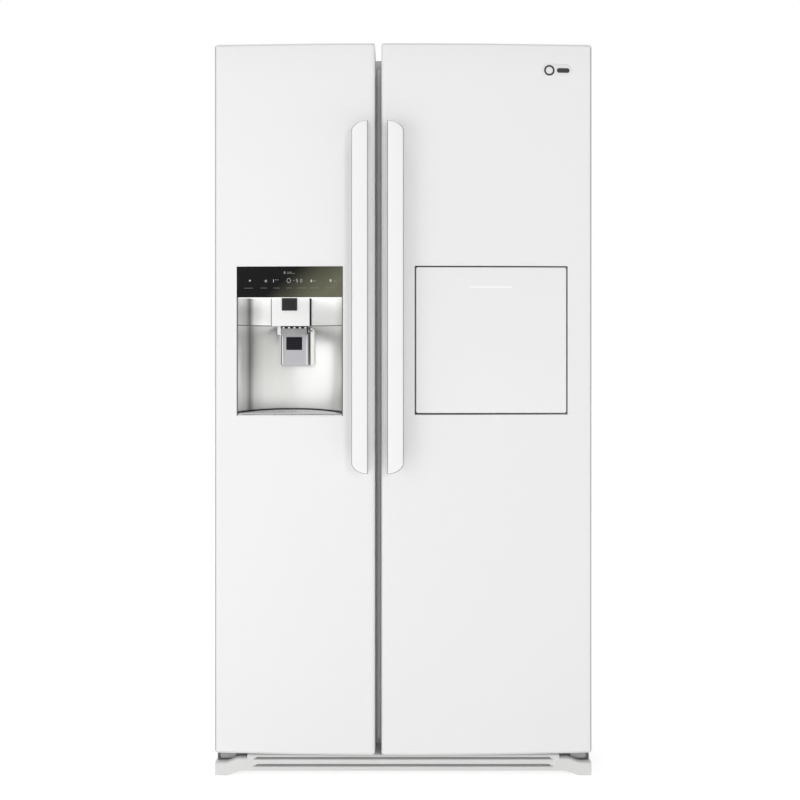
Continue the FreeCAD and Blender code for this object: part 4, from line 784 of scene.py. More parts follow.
def panel_marks():
    """Generic signs on the control strip: touch spots, a drop, a cube, a star, a lamp and two figures."""
    low, high = PANEL_LOW, PANEL_HIGH
    shapes, faint = [], []

    def flat(points, store=shapes):
        count = len(points)
        verts = [(x, front_y(x) + lift, z) for lift in (-0.12, 0.3) for x, z in points]
        faces = [tuple(range(count)), tuple(range(count, 2 * count))[::-1]]
        faces += [(i, (i + 1) % count, count + (i + 1) % count, count + i) for i in range(count)]
        store.append((verts, faces))

    def bar(x, z, wide, tall, store=shapes):
        flat([(x, z), (x + wide, z), (x + wide, z + tall), (x, z + tall)], store)

    def corners(x, z, radius, sides, squash=1.0):
        angles = [2 * math.pi * i / sides for i in range(sides + 1)]
        return [(x + radius * math.cos(angle), z + squash * radius * math.sin(angle)) for angle in angles]

    def spot(x, z, radius):
        flat(corners(x, z, radius, 16)[:-1])

    def outline(x, z, radius, thick, sides, squash=1.0):
        outer, inner = corners(x, z, radius, sides, squash), corners(x, z, radius - thick, sides, squash)
        for i in range(sides):
            flat([outer[i], outer[i + 1], inner[i + 1], inner[i]])

    def figure(x, z, lit):
        """Seven-bar figure; lit names its bars."""
        size, half, thick = 7.5, 1.95, 0.8
        middle, right = size / 2, half - thick
        bars = {"top": (-half, size - thick, 2 * half, thick), "low": (-half, 0, 2 * half, thick),
                "middle": (-half, middle - thick / 2, 2 * half, thick),
                "upper_left": (-half, middle, thick, middle), "upper_right": (right, middle, thick, middle),
                "lower_left": (-half, 0, thick, middle), "lower_right": (right, 0, thick, middle)}
        for name in lit:
            dx, dz, wide, tall = bars[name]
            bar(x + dx, z + dz, wide, tall)

    def along(share):
        return low.x + (high.x - low.x) * share

    row = low.z + 38.5
    spot(along(0.125), row + 1, 2.2)
    x = along(0.275)
    for angle in range(0, 180, 60):
        dx, dz = 3.4 * math.cos(math.radians(angle)), 3.4 * math.sin(math.radians(angle))
        nx, nz = -dz * 0.12, dx * 0.12
        flat([(x - dx - nx, row - dz - nz), (x + dx - nx, row + dz - nz), (x + dx + nx, row + dz + nz),
              (x - dx + nx, row - dz + nz)])
    for share, rise, wide, tall in ((0.345, -3, 1.6, 7), (0.365, 2.2, 2.4, 0.8), (0.385, 2.2, 2.4, 0.8)):
        bar(along(share), row + rise, wide, tall)
    outline(along(0.492), row + 1, 5.2, 0.9, 6, 1.15)
    figure(along(0.57), row - 3, ("top", "upper_left", "middle", "lower_right", "low"))
    figure(along(0.61), row - 3, ("top", "upper_left", "upper_right", "lower_left", "lower_right", "low"))
    bar(along(0.535), row + 0.4, 2.6, 0.8)
    drop = ((0, 4.5), (-2.4, -0.4), (-1.6, -2.6), (0, -3.2), (1.6, -2.6), (2.4, -0.4))
    flat([(along(0.705) + dx, row + dz) for dx, dz in drop])
    outline(along(0.735), row, 2.0, 0.6, 4)
    spot(along(0.885), row + 1.4, 2.6)
    bar(along(0.885) - 1.1, row - 3, 2.2, 1.8)
    spot(along(0.925), row - 0.6, 0.9)
    for share, length in ((0.07, 21), (0.225, 15), (0.345, 15), (0.47, 13), (0.575, 20), (0.695, 20),
                          (0.845, 20)):
        bar(along(share), low.z + 21.5, length, 0.9, faint)
    for share, rise, wide, tall in ((0.445, 0, 4, 6), (0.475, 3.6, 12, 1.2), (0.475, 0.6, 18, 1.2)):
        bar(along(share), low.z + 55 + rise, wide, tall, faint)
    for name, store, finish in (("panel_signs", shapes, "mark"), ("panel_label_bars", faint, "dim_mark")):
        piece(name, store, finish, "dispenser_control_panel")


def hood_and_nozzle():
    """Bright hood over the ice outlet, with its dark water nozzle."""
    low, high = box("dispenser_hood")
    rim = 3
    verts, faces = tub_mesh((low.x, low.y + 4, low.z + 2.5), (high.x, high.y, high.z + rim), 4, 2, 2)
    upside_down = [(x, y, low.z + 2.5 + high.z + rim - z) for x, y, z in verts]
    piece("hood_body", (upside_down, [face[::-1] for face in faces]), "hood", "dispenser_hood", hides=True)
    # Painted shade: dark strips down the hood's sides, the right one wider, for the shaded sides of the hood.
    dark_sides = [soft_block((x, low.y + front, low.z + 2.5), (x + wide, low.y + 9, high.z), 0.4)
             for x, wide, front in ((low.x - 0.9, 1.0, 6), (high.x - 3.0, 4.6, 3.6))]
    piece("hood_side_shades", dark_sides, "smoke", "dispenser_hood")
    x = -269.5
    nozzle = soft_block((x - 18, low.y, high.z - 29), (x + 18, low.y + 8, high.z + 4), 1.5, along="y")
    piece("water_nozzle", nozzle, "dark", "dispenser_hood")
    z = high.z - 25
    ribs = block_row(5, (0, 0, 4.2), (x - 15, low.y, z), (x + 15, low.y + 2, z + 1.6), 0.6, along="x")
    piece("water_nozzle_ribs", ribs, "smoke", "dispenser_hood")


def ice_outlet():
    """Dark outlet under the hood, with a row of short guide teeth."""
    low, high = box("ice_chute")
    hood_low = box("dispenser_hood")[0].z
    spout_back, duct_low = -290, 1080

    def ring(inset, z):
        pairs = loop(low.x + inset, high.x - inset, low.y + inset, spout_back - inset, 3, 4)
        return [(x, y, z) for x, y in pairs]

    rings = [ring(0.4, low.z), ring(0, low.z + 0.5), ring(0, duct_low), ring(2, duct_low),
             ring(2, low.z + 0.5), ring(1.6, low.z)]
    spout = loft_mesh(rings, closed=True)
    piece("outlet_spout", spout, "silver", "ice_chute", hides=True)
    duct = soft_block((low.x, spout_back, duct_low), high, 1.2, along="y")
    piece("ice_duct", duct, "dark", "ice_chute")
    left, right = low.x + 9, high.x + 6
    plate = soft_block((left, low.y - 1.6, low.z + 1), (right, low.y + 0.4, hood_low + 5), 0.6, along="y",
                       corner=2)
    piece("outlet_plate", plate, "dark", "ice_chute")
    count = 5
    pitch = (right - left) / count
    x = left + pitch / 2
    teeth = block_row(count, (pitch, 0, 0), (x - 2.4, low.y - 3, hood_low - 3.4),
                      (x + 2.4, low.y - 1, hood_low + 1), 0.7)
    piece("outlet_teeth", teeth, "silver", "ice_chute")
    lip = soft_block((left + 1, low.y - 3.4, low.z), (right - 3, low.y - 1, hood_low - 3), 1.0, along="x")
    piece("outlet_lip", lip, "hinge_grey", "ice_chute")


def paddle():
    """Push paddle: a dished silver plate with raised sides and a smoked window."""
    low, high = box("dispenser_lever")
    count = 20
    rings = []
    heights = [low.z + rise for rise in (0, 0.6, 1.6, 3, 20, 45, 70)] + [high.z - 10]
    front = low.y + 2
    wide = high.x - low.x - 3.5
    shares = [(low.x + 0.5 + wide * i / count, min(i, count - i) / count) for i in range(count + 1)]
    for z in heights:
        rise = min((z - low.z) / 3, 1.0)
        fall = 1.5 * (1 - math.sqrt(max(1 - (1 - rise) ** 2, 0.0)))
        ring = [(x, front + 1.3 * min(side / 0.12, 1.0) + fall, z) for x, side in shares]
        rings.append(ring + [(x, front + 5.5 - fall, z) for x, _ in shares[::-1]])
    barrel = lathe_mesh([(2.6, 0), (5, 0.01), (5, high.x - low.x), (2.6, high.x - low.x + 0.01)],
                        (low.x, LEVER_Y, LEVER_Z), "x", 24)
    piece("push_paddle", [loft_mesh(rings), barrel], "paddle", "dispenser_lever", hides=True, smooth=35)
    border = []
    for x_low, x_high in ((low.x + 0.6, low.x + 4.4), (high.x - 7.2, high.x - 3.2)):
        border.append(soft_block((x_low, front - 1.0, low.z + 3), (x_high, front + 3, high.z - 12), 1.0))
    border.append(soft_block((low.x + 0.6, front - 1.0, high.z - 15), (high.x - 3.2, front + 3, high.z - 11),
                             1.0, along="x"))
    piece("paddle_border", border, "silver", "dispenser_lever")
    x = (low.x + high.x) / 2 - 3
    width = 38
    top = low.z + 69
    half = width / 2
    window = soft_block((x - half, front + 0.3, top - 31), (x + half, front + 3, top), 0.8, along="y")
    piece("paddle_window", window, "smoke", "dispenser_lever")
    z = top - 27
    bars = block_row(6, (0, 0, 4.4), (x - 16, front, z), (x + 16, front + 1.2, z + 1.2), 0.4, along="x")
    piece("paddle_window_bars", bars, "dark", "dispenser_lever")


def drip_tray():
    """Half-moon tray: a bright rim round a dark grille of slats."""
    low, high = box("drip_tray")
    front = low.y + 2

    def outline(inset):
        left, right = low.x + inset, high.x - inset
        xs = between(left, right, 48)
        back = [(x, scoop_y(x, SCOOP_RADIUS - 3.4 - inset)) for x in xs]
        return back + [(x, front + inset) for x in xs[::-1]]

    rings = []
    for inset, z in ((0, 0.0), (0, -1.2), (0.5, -0.4), (1.4, 0.0), (7, 0.0), (8, -0.6), (8.4, -1.8)):
        flat = inset == 0 and z == 0
        rings.append([(x, y, low.z if flat else high.z + z + tray_slope(y)) for x, y in outline(inset)])
    piece("tray_rim", loft_mesh(rings), "silver", "drip_tray", hides=True, smooth=35)
    slats = []
    for i in range(27):
        x = DISP_X + (i - 13) * 7.4
        reach = SCOOP_RADIUS - 12
        back = SCOOP_Y + math.sqrt(max(reach ** 2 - (x - DISP_X) ** 2, 0.0))
        if back - (front + 10) > 6:
            verts, faces = soft_block((x - 1.3, front + 9, high.z - 2.6), (x + 1.3, back, high.z - 0.5), 0.7,
                                      along="y")
            slats.append(([(a, b, c + tray_slope(b)) for a, b, c in verts], faces))
    piece("tray_slats", slats, "silver", "drip_tray")


# ---------------------------------------------------------------- home bar
def home_bar():
    """Outer panel that follows the door front, with soft corners, and a painted highlight along a shallow
    push line.
    """
    low, high = BAR_LOW, BAR_HIGH
    edge, corner = 2.6, 5.0
    back = high.y
    rings = []
    for inset in (0.0, 0.1, 0.35, 0.75, 1.3, 2.0, 2.6):
        fall = edge - math.sqrt(max(edge ** 2 - (edge - inset) ** 2, 0.0))
        pairs = loop(low.x + inset, high.x - inset, low.z + inset, high.z - inset, corner - inset * 0.6, 6)
        rings.append([(x, front_y(x) + fall, z) for x, z in divided(pairs, 40)])
    outer = [(x, back, z) for x, _, z in rings[0]]
    verts, faces = loft_mesh([outer] + rings, end=False)
    base, count = len(rings) * len(outer), len(outer)
    for i in range(count // 2 - 1):
        faces.append((base + i, base + i + 1, base + count - 2 - i, base + count - 1 - i))
    piece("bar_panel_pressed", (verts, faces), "paint", "home_bar_door", hides=True, smooth=30)
    # Painted highlight: a bright glowing strip along the push line.
    groove = []
    z = low.z + 297
    start, end = low.x + 124, low.x + 226
    for i in range(12):
        a, b = start + (end - start) * i / 12, start + (end - start) * (i + 1) / 12
        groove.append(([(a, front_y(a) - 0.15, z - 0.8), (b, front_y(b) - 0.15, z - 0.8),
                        (b, front_y(b) - 0.15, z + 0.8), (a, front_y(a) - 0.15, z + 0.8)], [(0, 1, 2, 3)]))
    piece("bar_push_highlight", groove, "push_highlight", "home_bar_door")


# ---------------------------------------------------------------- base cover and hinge covers
SLOT_HEIGHTS = (24, 41)


def base_cover():
    """Kick plate with a rolled top edge, stepped ends on low feet and two long air slots."""
    low, high = box("base_cover")
    half = high.x
    foot, low_z, end_z, rise_z, top_z = low.z, 14, 34, 44, high.z
    front, back = low.y, high.y
    step = 370

    def top_at(x):
        x = abs(x)
        if x > step:
            return rise_z + (end_z - rise_z) * ease((x - 388) / 34)
        return top_z

    def low_at(x):
        return low_z + (foot - low_z) * ease((abs(x) - 378) / 44)

    stops = (447, 446.6, 445.5, 444, 440, 434, 428, 420, 412, 404, 396, 390, 384, 378, 374, 371.5, 370.2,
             370.0, 369.9, 360, 357, 354, 351, 348)
    xs = {sign * stop for sign in (-1, 1) for stop in stops} | {-345 + 690 * i / 40 for i in range(41)}
    slot_end = 357
    rings = []
    for x in sorted(xs):
        near_end = half - abs(x)
        edge_fall = 3 - math.sqrt(max(3 ** 2 - (3 - min(near_end, 3)) ** 2, 0.0))
        bottom, top = low_at(x) + edge_fall * 0.6, top_at(x) - edge_fall * 0.6
        curve = 5
        face = front + edge_fall
        profile = [(back, bottom), (face + 1.0, bottom), (face + 0.3, bottom + 0.7)]
        slot = clamp((slot_end - abs(x)) / 12)
        for z in SLOT_HEIGHTS:
            share = (z - low_z) / (top_z - low_z)
            at = bottom + (top - bottom) * share
            tall = 5.6 * (top - bottom) / (top_z - low_z)
            for rise, sink in ((-1.6, 0.0), (-0.5, 1.0), (0.2, 9.0), (tall, 9.0), (tall + 0.3, 1.0),
                               (tall + 1.0, 0.0)):
                profile.append((face + 0.3 + sink * slot, at + rise * (0.2 + 0.8 * slot)))
        profile += [(face + 0.3 + curve * (1 - cosine), top - curve + curve * sine)
                    for sine, cosine in quarter(6)]
        profile.append((back, top))
        rings.append([(x, y, z) for y, z in profile])
    piece("base_cover_moulded", loft_mesh(rings), "kick", "base_cover", hides=True, smooth=38)
    # Painted shade: grey strips deep in the slots, for the dark inside behind them.
    slots = []
    for z in SLOT_HEIGHTS:
        slots.append(soft_block((-349, front + 4.6, z + 0.3), (349, front + 6.8, z + 5.6), 0.3, along="x"))
    piece("base_cover_slots", slots, "slot_painted_shade", "base_cover")


def lower_hinges():
    """Bolted steel bracket with a folded lip, a bright bush round the pin, and two bolt heads."""
    low, high = box("lower_hinges")
    dark, bright = [], []
    door_low = box("freezer_door_caps")[0].z
    for sign in (-1, 1):
        x_out, x_in = sign * 444, sign * 376
        a, b = sorted((x_out, x_in))
        front = low.y
        dark.append(soft_block((a, front, 44), (b, high.y, 50), 1.5, corner=6))
        dark.append(soft_block((a, high.y - 4, 44), (b, high.y, 56), 0.8))
        dark.append(soft_block((a + 1, front + 3, 30), (b - 1, front + 7, 47), 1.2))
        for x_near, x_far in ((373, 402), (434, 443)):
            inner, outer = sorted((sign * x_near, sign * x_far))
            dark.append(soft_block((inner, front - 1, 40), (outer, front + 14, door_low - 1.2), 1.0))
        centre = (sign * HINGE_X, HINGE_Y, 0)
        bright.append(lathe_mesh([(4.96, 30), (4.96, 73), (3.6, 74)], centre, "z", 28))
        bright.append(lathe_mesh([(8.6, 49.6), (9, 50.4), (9, 56.6), (8.2, 57.4), (5, 57.4)], centre, "z",
                                 28))
        inner, outer = sorted((sign * 398, sign * 436))
        bright.append(soft_block((inner, front - 3, 38), (outer, front + 6, 54.6), 2.4, corner=6, along="y"))
        dark.append(soft_block((a + 2, front - 1, 34), (b - 2, front + 4, 43), 1.2))
        for x in (386, 402):
            bright.append(lathe_mesh([(5.2, 50), (5.2, 52.4), (4.4, 53.2)], (sign * x, -262, 0), "z", 6))
    piece("lower_hinge_brackets", dark, "bracket", "lower_hinges", hides=True)
    piece("lower_hinge_bushes", bright, "hinge_grey", "lower_hinges")


def name_plate():
    """Blank plate with a plain ring and bar, bent to the door front."""
    low, high = box("name_plate")
    rings = []
    for inset, lift in ((0.0, -0.2), (0.0, 0.0), (0.2, 0.6), (0.7, 1.1), (1.5, 1.3)):
        pairs = loop(low.x + inset, high.x - inset, low.z + inset, high.z - inset, 15 - inset, 12)
        rings.append([(x, front_y(x) - lift, z) for x, z in pairs])
    piece("blank_plate", loft_mesh(rings), "trim", "name_plate", hides=True, smooth=35)
    middle_z = (low.z + high.z) / 2
    disc = lathe_mesh([(8.5, -1.2), (12.5, -1.2), (12.5, -1.8), (8.5, -1.8)], (low.x + 18, 0, middle_z), "y",
                      40, bored=True)
    bar = soft_block((low.x + 36, -1.8, middle_z - 5.5), (low.x + 66, -1.0, middle_z + 5.5), 0.3, along="y",
                     corner=5)
    verts, faces = join_parts([disc, bar])
    piece("plate_inlay", ([(x, front_y(x) + y, z) for x, y, z in verts], faces), "badge", "name_plate",
          smooth=35)


# ---------------------------------------------------------------- behind the doors
def ring_sweep(name, low, high, section, finish, node, corner, hides=False):
    """Sweep a small section round a rounded rectangle in XZ; section gives (outward, y) offsets."""
    rings = []
    for out, y in section:
        pairs = loop(low.x - out, high.x + out, low.z - out, high.z + out, corner + out, 8)
        rings.append([(x, y, z) for x, z in pairs])
    piece(name, loft_mesh(rings, closed=True), finish, node, hides, smooth=40)


def gasket(side):
    """Magnetic gasket: a bellows fold below a flat magnet strip."""
    node = f"{side}_door_gasket"
    low, high = box(node)
    width = 20
    door, face = low.y, high.y
    deep = face - door
    section = [(0, door), (-width, door), (-width, door + deep * 0.22), (-width + 3, door + deep * 0.32),
               (-width + 0.6, door + deep * 0.46), (-width + 0.2, face - 1.2), (-width + 1.2, face),
               (-2.6, face), (-1.2, face - 1.2), (-1.6, door + deep * 0.46), (-4, door + deep * 0.32),
               (-0.4, door + deep * 0.2)]
    ring_sweep(f"{side}_gasket_bellows", low, high, section, "gasket", node, 4, hides=True)


def compartment(side):
    """Vacuum-formed liner with round corners and a step over the machine room, and ribs under the shelves."""
    low, high = box(f"{side}_liner")
    wall = 2
    left, right = low.x + wall, high.x - wall
    floor, top, back = low.z + wall, high.z - wall, high.y - wall
    step_z, step_y = 345, 123
    corner, flare, soft = 22, 5, 20
    mouth = low.y

    def section(z_low, y, grow=0.0):
        return [(x, y, z) for x, z in loop(left - grow, right + grow, z_low - grow, top + grow, corner, 8)]

    stations = [(mouth, 1.6)]
    stations += [(mouth + flare * sine, min(flare * cosine * 0.35, 1.6)) for sine, cosine in quarter(5, 1)]
    rings = [section(floor, y, grow) for y, grow in stations] + [section(floor, step_y - soft)]
    for k, (sine, cosine) in enumerate(quarter(6, 1), start=1):
        rings.append(section(floor + (step_z - floor) * (k / 6), step_y - soft + soft * sine))
    rings.append(section(step_z, back - soft))
    for sine, cosine in quarter(6, 1):
        inset = soft * (1 - cosine)
        pairs = loop(left + inset, right - inset, step_z + inset, top - inset, max(corner - inset, 2), 8)
        rings.append([(x, back - soft + soft * sine, z) for x, z in pairs])
    formed = piece(f"{side}_liner_formed", loft_mesh(rings, start=False), "liner", f"{side}_liner",
                   hides=True, smooth=45, merge=False)
    formed.data.flip_normals()
    ribs = []
    for shelf_low, shelf_high in shelf_boxes(side):
        for x, out in ((left, 1), (right, -1)):
            x_low, x_high = sorted((x - out * 1, x + out * 5))
            ribs.append(soft_block((x_low, shelf_low.y - 20, shelf_low.z - 10),
                                   (x_high, min(shelf_high.y, back - 4), shelf_low.z - 0.2), 1.8, along="y"))
    piece(f"{side}_shelf_ribs", ribs, "liner", f"{side}_liner")


def shelf_boxes(side):
    """Boxes of the separate shelf plates, read from their node's mesh."""
    verts = frame["nodes"][f"{side}_shelves"].data.vertices
    xs, ys, zs = ([v.co[i] / MM for v in verts] for i in range(3))
    levels = sorted({round(z, 1) for z in zs})
    return [(Vector((min(xs), min(ys), low_z)), Vector((max(xs), max(ys), high_z)))
            for low_z, high_z in zip(levels[::2], levels[1::2])]


def shelves(side):
    """Glass plates in slim moulded front and rear trims."""
    glass, trims = [], []
    for low, high in shelf_boxes(side):
        left, right = low.x + 1.2, high.x - 1.2
        glass.append(soft_block((left, low.y + 9, low.z + 0.8), (right, high.y - 9, high.z - 0.4), 0.6))
        trims += [soft_block((left, low.y, low.z - 9), (right, low.y + 12, high.z), 2.4, along="x"),
                  soft_block((left, high.y - 12, low.z - 3), (right, high.y, high.z + 6), 1.8, along="x")]
        trims += [soft_block((x, low.y + 8, low.z - 0.1), (x + 7, high.y - 8, high.z + 0.2), 1.0, along="y")
                  for x in (left, right - 7)]
    piece(f"{side}_shelf_glass", glass, "shelf_glass", f"{side}_shelves", hides=True)
    piece(f"{side}_shelf_trims", trims, "trim", f"{side}_shelves")


def drawer(node):
    """Drawer with round corners, a moulded front and a finger lip."""
    low, high = box(node)
    piece(f"{node}_tub", tub_mesh((low.x, low.y + 5, low.z), high, 14, 2.6, 8), "crisper", node, hides=True,
          smooth=40)
    front = soft_block((low.x, low.y, low.z + 2), (high.x, low.y + 8, high.z), 3, along="y", corner=10)
    piece(f"{node}_front", front, "crisper", node)
    grip = soft_block((low.x + 6, low.y, high.z - 16), (high.x - 6, low.y + 11, high.z), 3.2, along="x")
    piece(f"{node}_grip", grip, "trim", node)


def split_boxes(node):
    """Boxes of the loose solids in one CAD node."""
    work = bmesh.new()
    work.from_mesh(frame["nodes"][node].data)
    bmesh.ops.remove_doubles(work, verts=work.verts, dist=1e-6)
    left = set(work.verts)
    boxes = []
    while left:
        stack = [left.pop()]
        island = list(stack)
        while stack:
            for edge in stack.pop().link_edges:
                for vert in edge.verts:
                    if vert in left:
                        left.remove(vert)
                        stack.append(vert)
                        island.append(vert)
        low = Vector([min(v.co[i] for v in island) for i in range(3)]) / MM
        high = Vector([max(v.co[i] for v in island) for i in range(3)]) / MM
        boxes.append((low, high))
    work.free()
    return sorted(boxes, key=lambda pair: (round(pair[0].z, 1), pair[0].x))


def bins(side):
    """Clear door bins with round corners, a deeper front and a bright rail."""
    node = f"{side}_door_bins"
    tubs, rails = [], []
    for low, high in split_boxes(node):
        top = min(high.z, low.z + 90)
        reach = min(high.y, -155)
        tubs.append(tub_mesh((low.x, low.y, low.z), (high.x, reach, top), 12, 2.6, 7))
        rails.append(soft_block((low.x + 1, reach - 5, top - 14), (high.x - 1, reach, top + 0.4), 2,
                                along="x"))
        if high.z - low.z > 100:
            for x in (low.x, high.x - 3):
                tubs.append(soft_block((x, low.y + 2, low.z + 20), (x + 3, high.y, high.z), 1))
    piece(f"{side}_bin_tubs", tubs, "bin", node, hides=True, smooth=40)
    piece(f"{side}_bin_rails", rails, "trim", node)


def inner_liner(side, window):
    """Door liner: a flat plate with a raised round-cornered rim, cut through at the window."""
    node = f"{side}_door_inner_liner"
    low, high = box(node)
    plate_y, peak = -252.5, high.y
    wall, lean = 12, 5
    boxes = split_boxes(f"{side}_door_bins")
    rim_low, rim_high = Vector((boxes[0][0].x - wall, 0, 130)), Vector((boxes[-1][1].x + wall, 0, 1650))
    section = [(0.0, plate_y - 0.2), (-1, plate_y + 3), (-lean * 0.6, peak - 3), (-lean * 0.8, peak - 1),
               (-lean, peak), (-wall + 1.6, peak), (-wall + 0.6, peak - 0.8), (-wall, peak - 2.4),
               (-wall, plate_y - 0.2)]
    ring_sweep(f"{side}_liner_rim", rim_low, rim_high, section, "liner", node, 16, hides=True)
    xs = [low.x, window[0].x, window[1].x, high.x]
    zs = [low.z, window[0].z, window[1].z, high.z]
    parts = [soft_block((xs[i], low.y, zs[j]), (xs[i + 1], plate_y, zs[j + 1]), 0.05, steps=1)
             for i in range(3) for j in range(3) if (i, j) != (1, 1)]
    piece(f"{side}_liner_plate", parts, "liner", node)


# ---------------------------------------------------------------- cabinet outside
def mullion_lit_strip():
    """Narrow strip down the divider with a painted glow, which lightens the shaded gap between the doors."""
    low, high = box("front_frame")
    centre = (box("freezer_door_skin")[1].x + box("fridge_door_skin")[0].x) / 2
    strip = soft_block((centre - 3.6, low.y - 0.35, low.z + 22), (centre + 3.6, low.y + 1, high.z - 22), 0.3)
    piece("mullion_lit_strip", strip, "mullion_lit_strip", "front_frame")


def cabinet_shell():
    """Side and top sheets bent from one strip, with round top corners and hemmed front edges."""
    low, high = box("cabinet_panels")
    bend, hem = 2.6, 1.2

    def outline(inset):
        left, right, top = low.x + inset, high.x - inset, high.z - inset
        points = [(left, low.z)]
        for centre_x, start in ((left + bend, 180), (right - bend, 90)):
            for i in range(9):
                angle = math.radians(start - 90 * i / 8)
                points.append((centre_x + bend * math.cos(angle), top - bend + bend * math.sin(angle)))
        return points + [(right, low.z)]

    rings = []
    for y, inset in ((low.y, 0.9), (low.y + 0.3, 0.35), (low.y + hem, 0.0), (high.y - 0.5, 0.0),
                     (high.y, 0.5)):
        rings.append([(x, y, z) for x, z in outline(inset) + outline(SHEET + 0.2)[::-1]])
    piece("cabinet_shell", loft_mesh(rings), "side_paint", "cabinet_panels", hides=True, smooth=40)


def back_sheet():
    """Galvanised back with two pressed swages and screws along its edges."""
    low, high = box("back_panel")
    depth, wall, corner = 1.5, 14, 40
    middle_z, half_z, half_x = (low.z + high.z) / 2, (high.z - low.z) / 2 - 70, 170
    centres = (-215, 215)

    def press(x, z):
        nearest = min(abs(x - centre) for centre in centres)
        a, b = nearest - half_x + corner, abs(z - middle_z) - half_z + corner
        distance = math.hypot(max(a, 0), max(b, 0)) + min(max(a, b), 0) - corner
        return high.y + depth * ease(-distance / wall)

    near = (-2, 2, 5, 8, 11, 14, 18, 24, 32, 40, 55)
    xs = {low.x, high.x, 0.0} | {c + s * (half_x - d) for c in centres for s in (-1, 1) for d in near}
    zs = {low.z, high.z} | {middle_z + s * (half_z - d) for s in (-1, 1) for d in near}
    zs |= {middle_z + half_z * i / 8 for i in range(-6, 7)}
    piece("back_sheet_pressed", sheet_mesh(sorted(xs), sorted(zs), press, lambda x, z: press(x, z) - 0.8),
          "zinc", "back_panel", hides=True, smooth=30)
    edge = 14
    places = [(s * (high.x - edge), high.y, low.z + 40 + i * 268) for s in (-1, 1) for i in range(6)]
    places += [(x, high.y, high.z - edge) for x in (-290, -145, 0, 145, 290)]
    screw_heads("back_sheet_screws", places, 4.5, "back_panel")


def rear_cover():
    """Raised border and screws on the vented cover of the machine room."""
    low, high = box("machine_room_cover")
    y = high.y
    section = [(-3, y - 0.4), (-4, y + 0.6), (-8, y + 0.6), (-9, y - 0.4)]
    ring_sweep("rear_cover_border", low, high, section, "rear", "machine_room_cover", 10)
    middle_z = (low.z + high.z) / 2
    places = [(s * (high.x - 15), y, z) for s in (-1, 1) for z in (low.z + 16, middle_z, high.z - 16)]
    places += [(x, y, high.z - 16) for x in (-150, 150)] + [(x, y, low.z + 16) for x in (-150, 150)]
    screw_heads("rear_cover_screws", places, 4.5, "machine_room_cover")
    valve_low, valve_high = box("water_valve")
    centre = ((valve_low.x + valve_high.x) / 2, 0, 200)
    ring = lathe_mesh([(20, y - 1), (24, y - 0.2), (24, y + 0.5), (19, y + 0.5), (19, y - 3)], centre, "y",
                      40, bored=True)
    piece("valve_surround", ring, "foot", "machine_room_cover")
    profile = []
    for i in range(10):
        at = valve_high.y - 21 + i * 2
        profile += [(13.3, at), (13.9, at + 0.7), (13.9, at + 1.2)]
    profile += [(13.2, valve_high.y - 0.6), (12.4, valve_high.y), (5, valve_high.y), (4, valve_high.y - 1),
                (4, valve_high.y - 21)]
    piece("valve_thread", lathe_mesh(profile, centre, "y", 36, bored=True), "brass", "water_valve")


def hinge_covers():
    """Moulded covers: low over the door, a soft rise to the cabinet top, round edges and a screw plug."""
    low, high = box("hinge_covers")
    nose_z, rise_y, step_y, back = 1742, -258, -238, high.y
    over_door = 1735.5
    top_line = [(low.y + (rise_y - low.y) * i / 12, nose_z + (high.z - nose_z) * ease(i / 12))
                for i in range(13)]
    top_line += [(back - 12 + 12 * sine, high.z - 12 + 12 * cosine) for sine, cosine in quarter(8)]
    round_by = 4
    parts, plugs = [], []
    for sign in (-1, 1):
        rings = []
        left = low.x if sign < 0 else high.x - 60
        steps = [(round_by * (1 - cosine), round_by * (1 - sine)) for sine, cosine in quarter(5)]
        stations = [(left + dx, drop) for dx, drop in steps]
        stations += [(left + 60 - dx, drop) for dx, drop in steps[::-1]]
        for x, drop in stations:
            ring = [(x, low.y + drop, over_door)]
            ring += [(x, min(max(y, low.y + drop), back - drop), z - drop) for y, z in top_line]
            ring += [(x, back - drop, low.z), (x, step_y, low.z), (x, step_y, over_door)]
            rings.append(ring)
        parts.append(loft_mesh(rings))
        centre = (left + 30, -176, 0)
        plugs.append(lathe_mesh([(7, high.z - 2), (7, high.z + 0.2), (6.4, high.z + 0.6), (1, high.z + 0.7)],
                                centre, "z", 28))
    piece("hinge_covers_moulded", parts, "side_paint", "hinge_covers", hides=True, smooth=35)
    piece("hinge_cover_plugs", plugs, "trim", "hinge_covers")


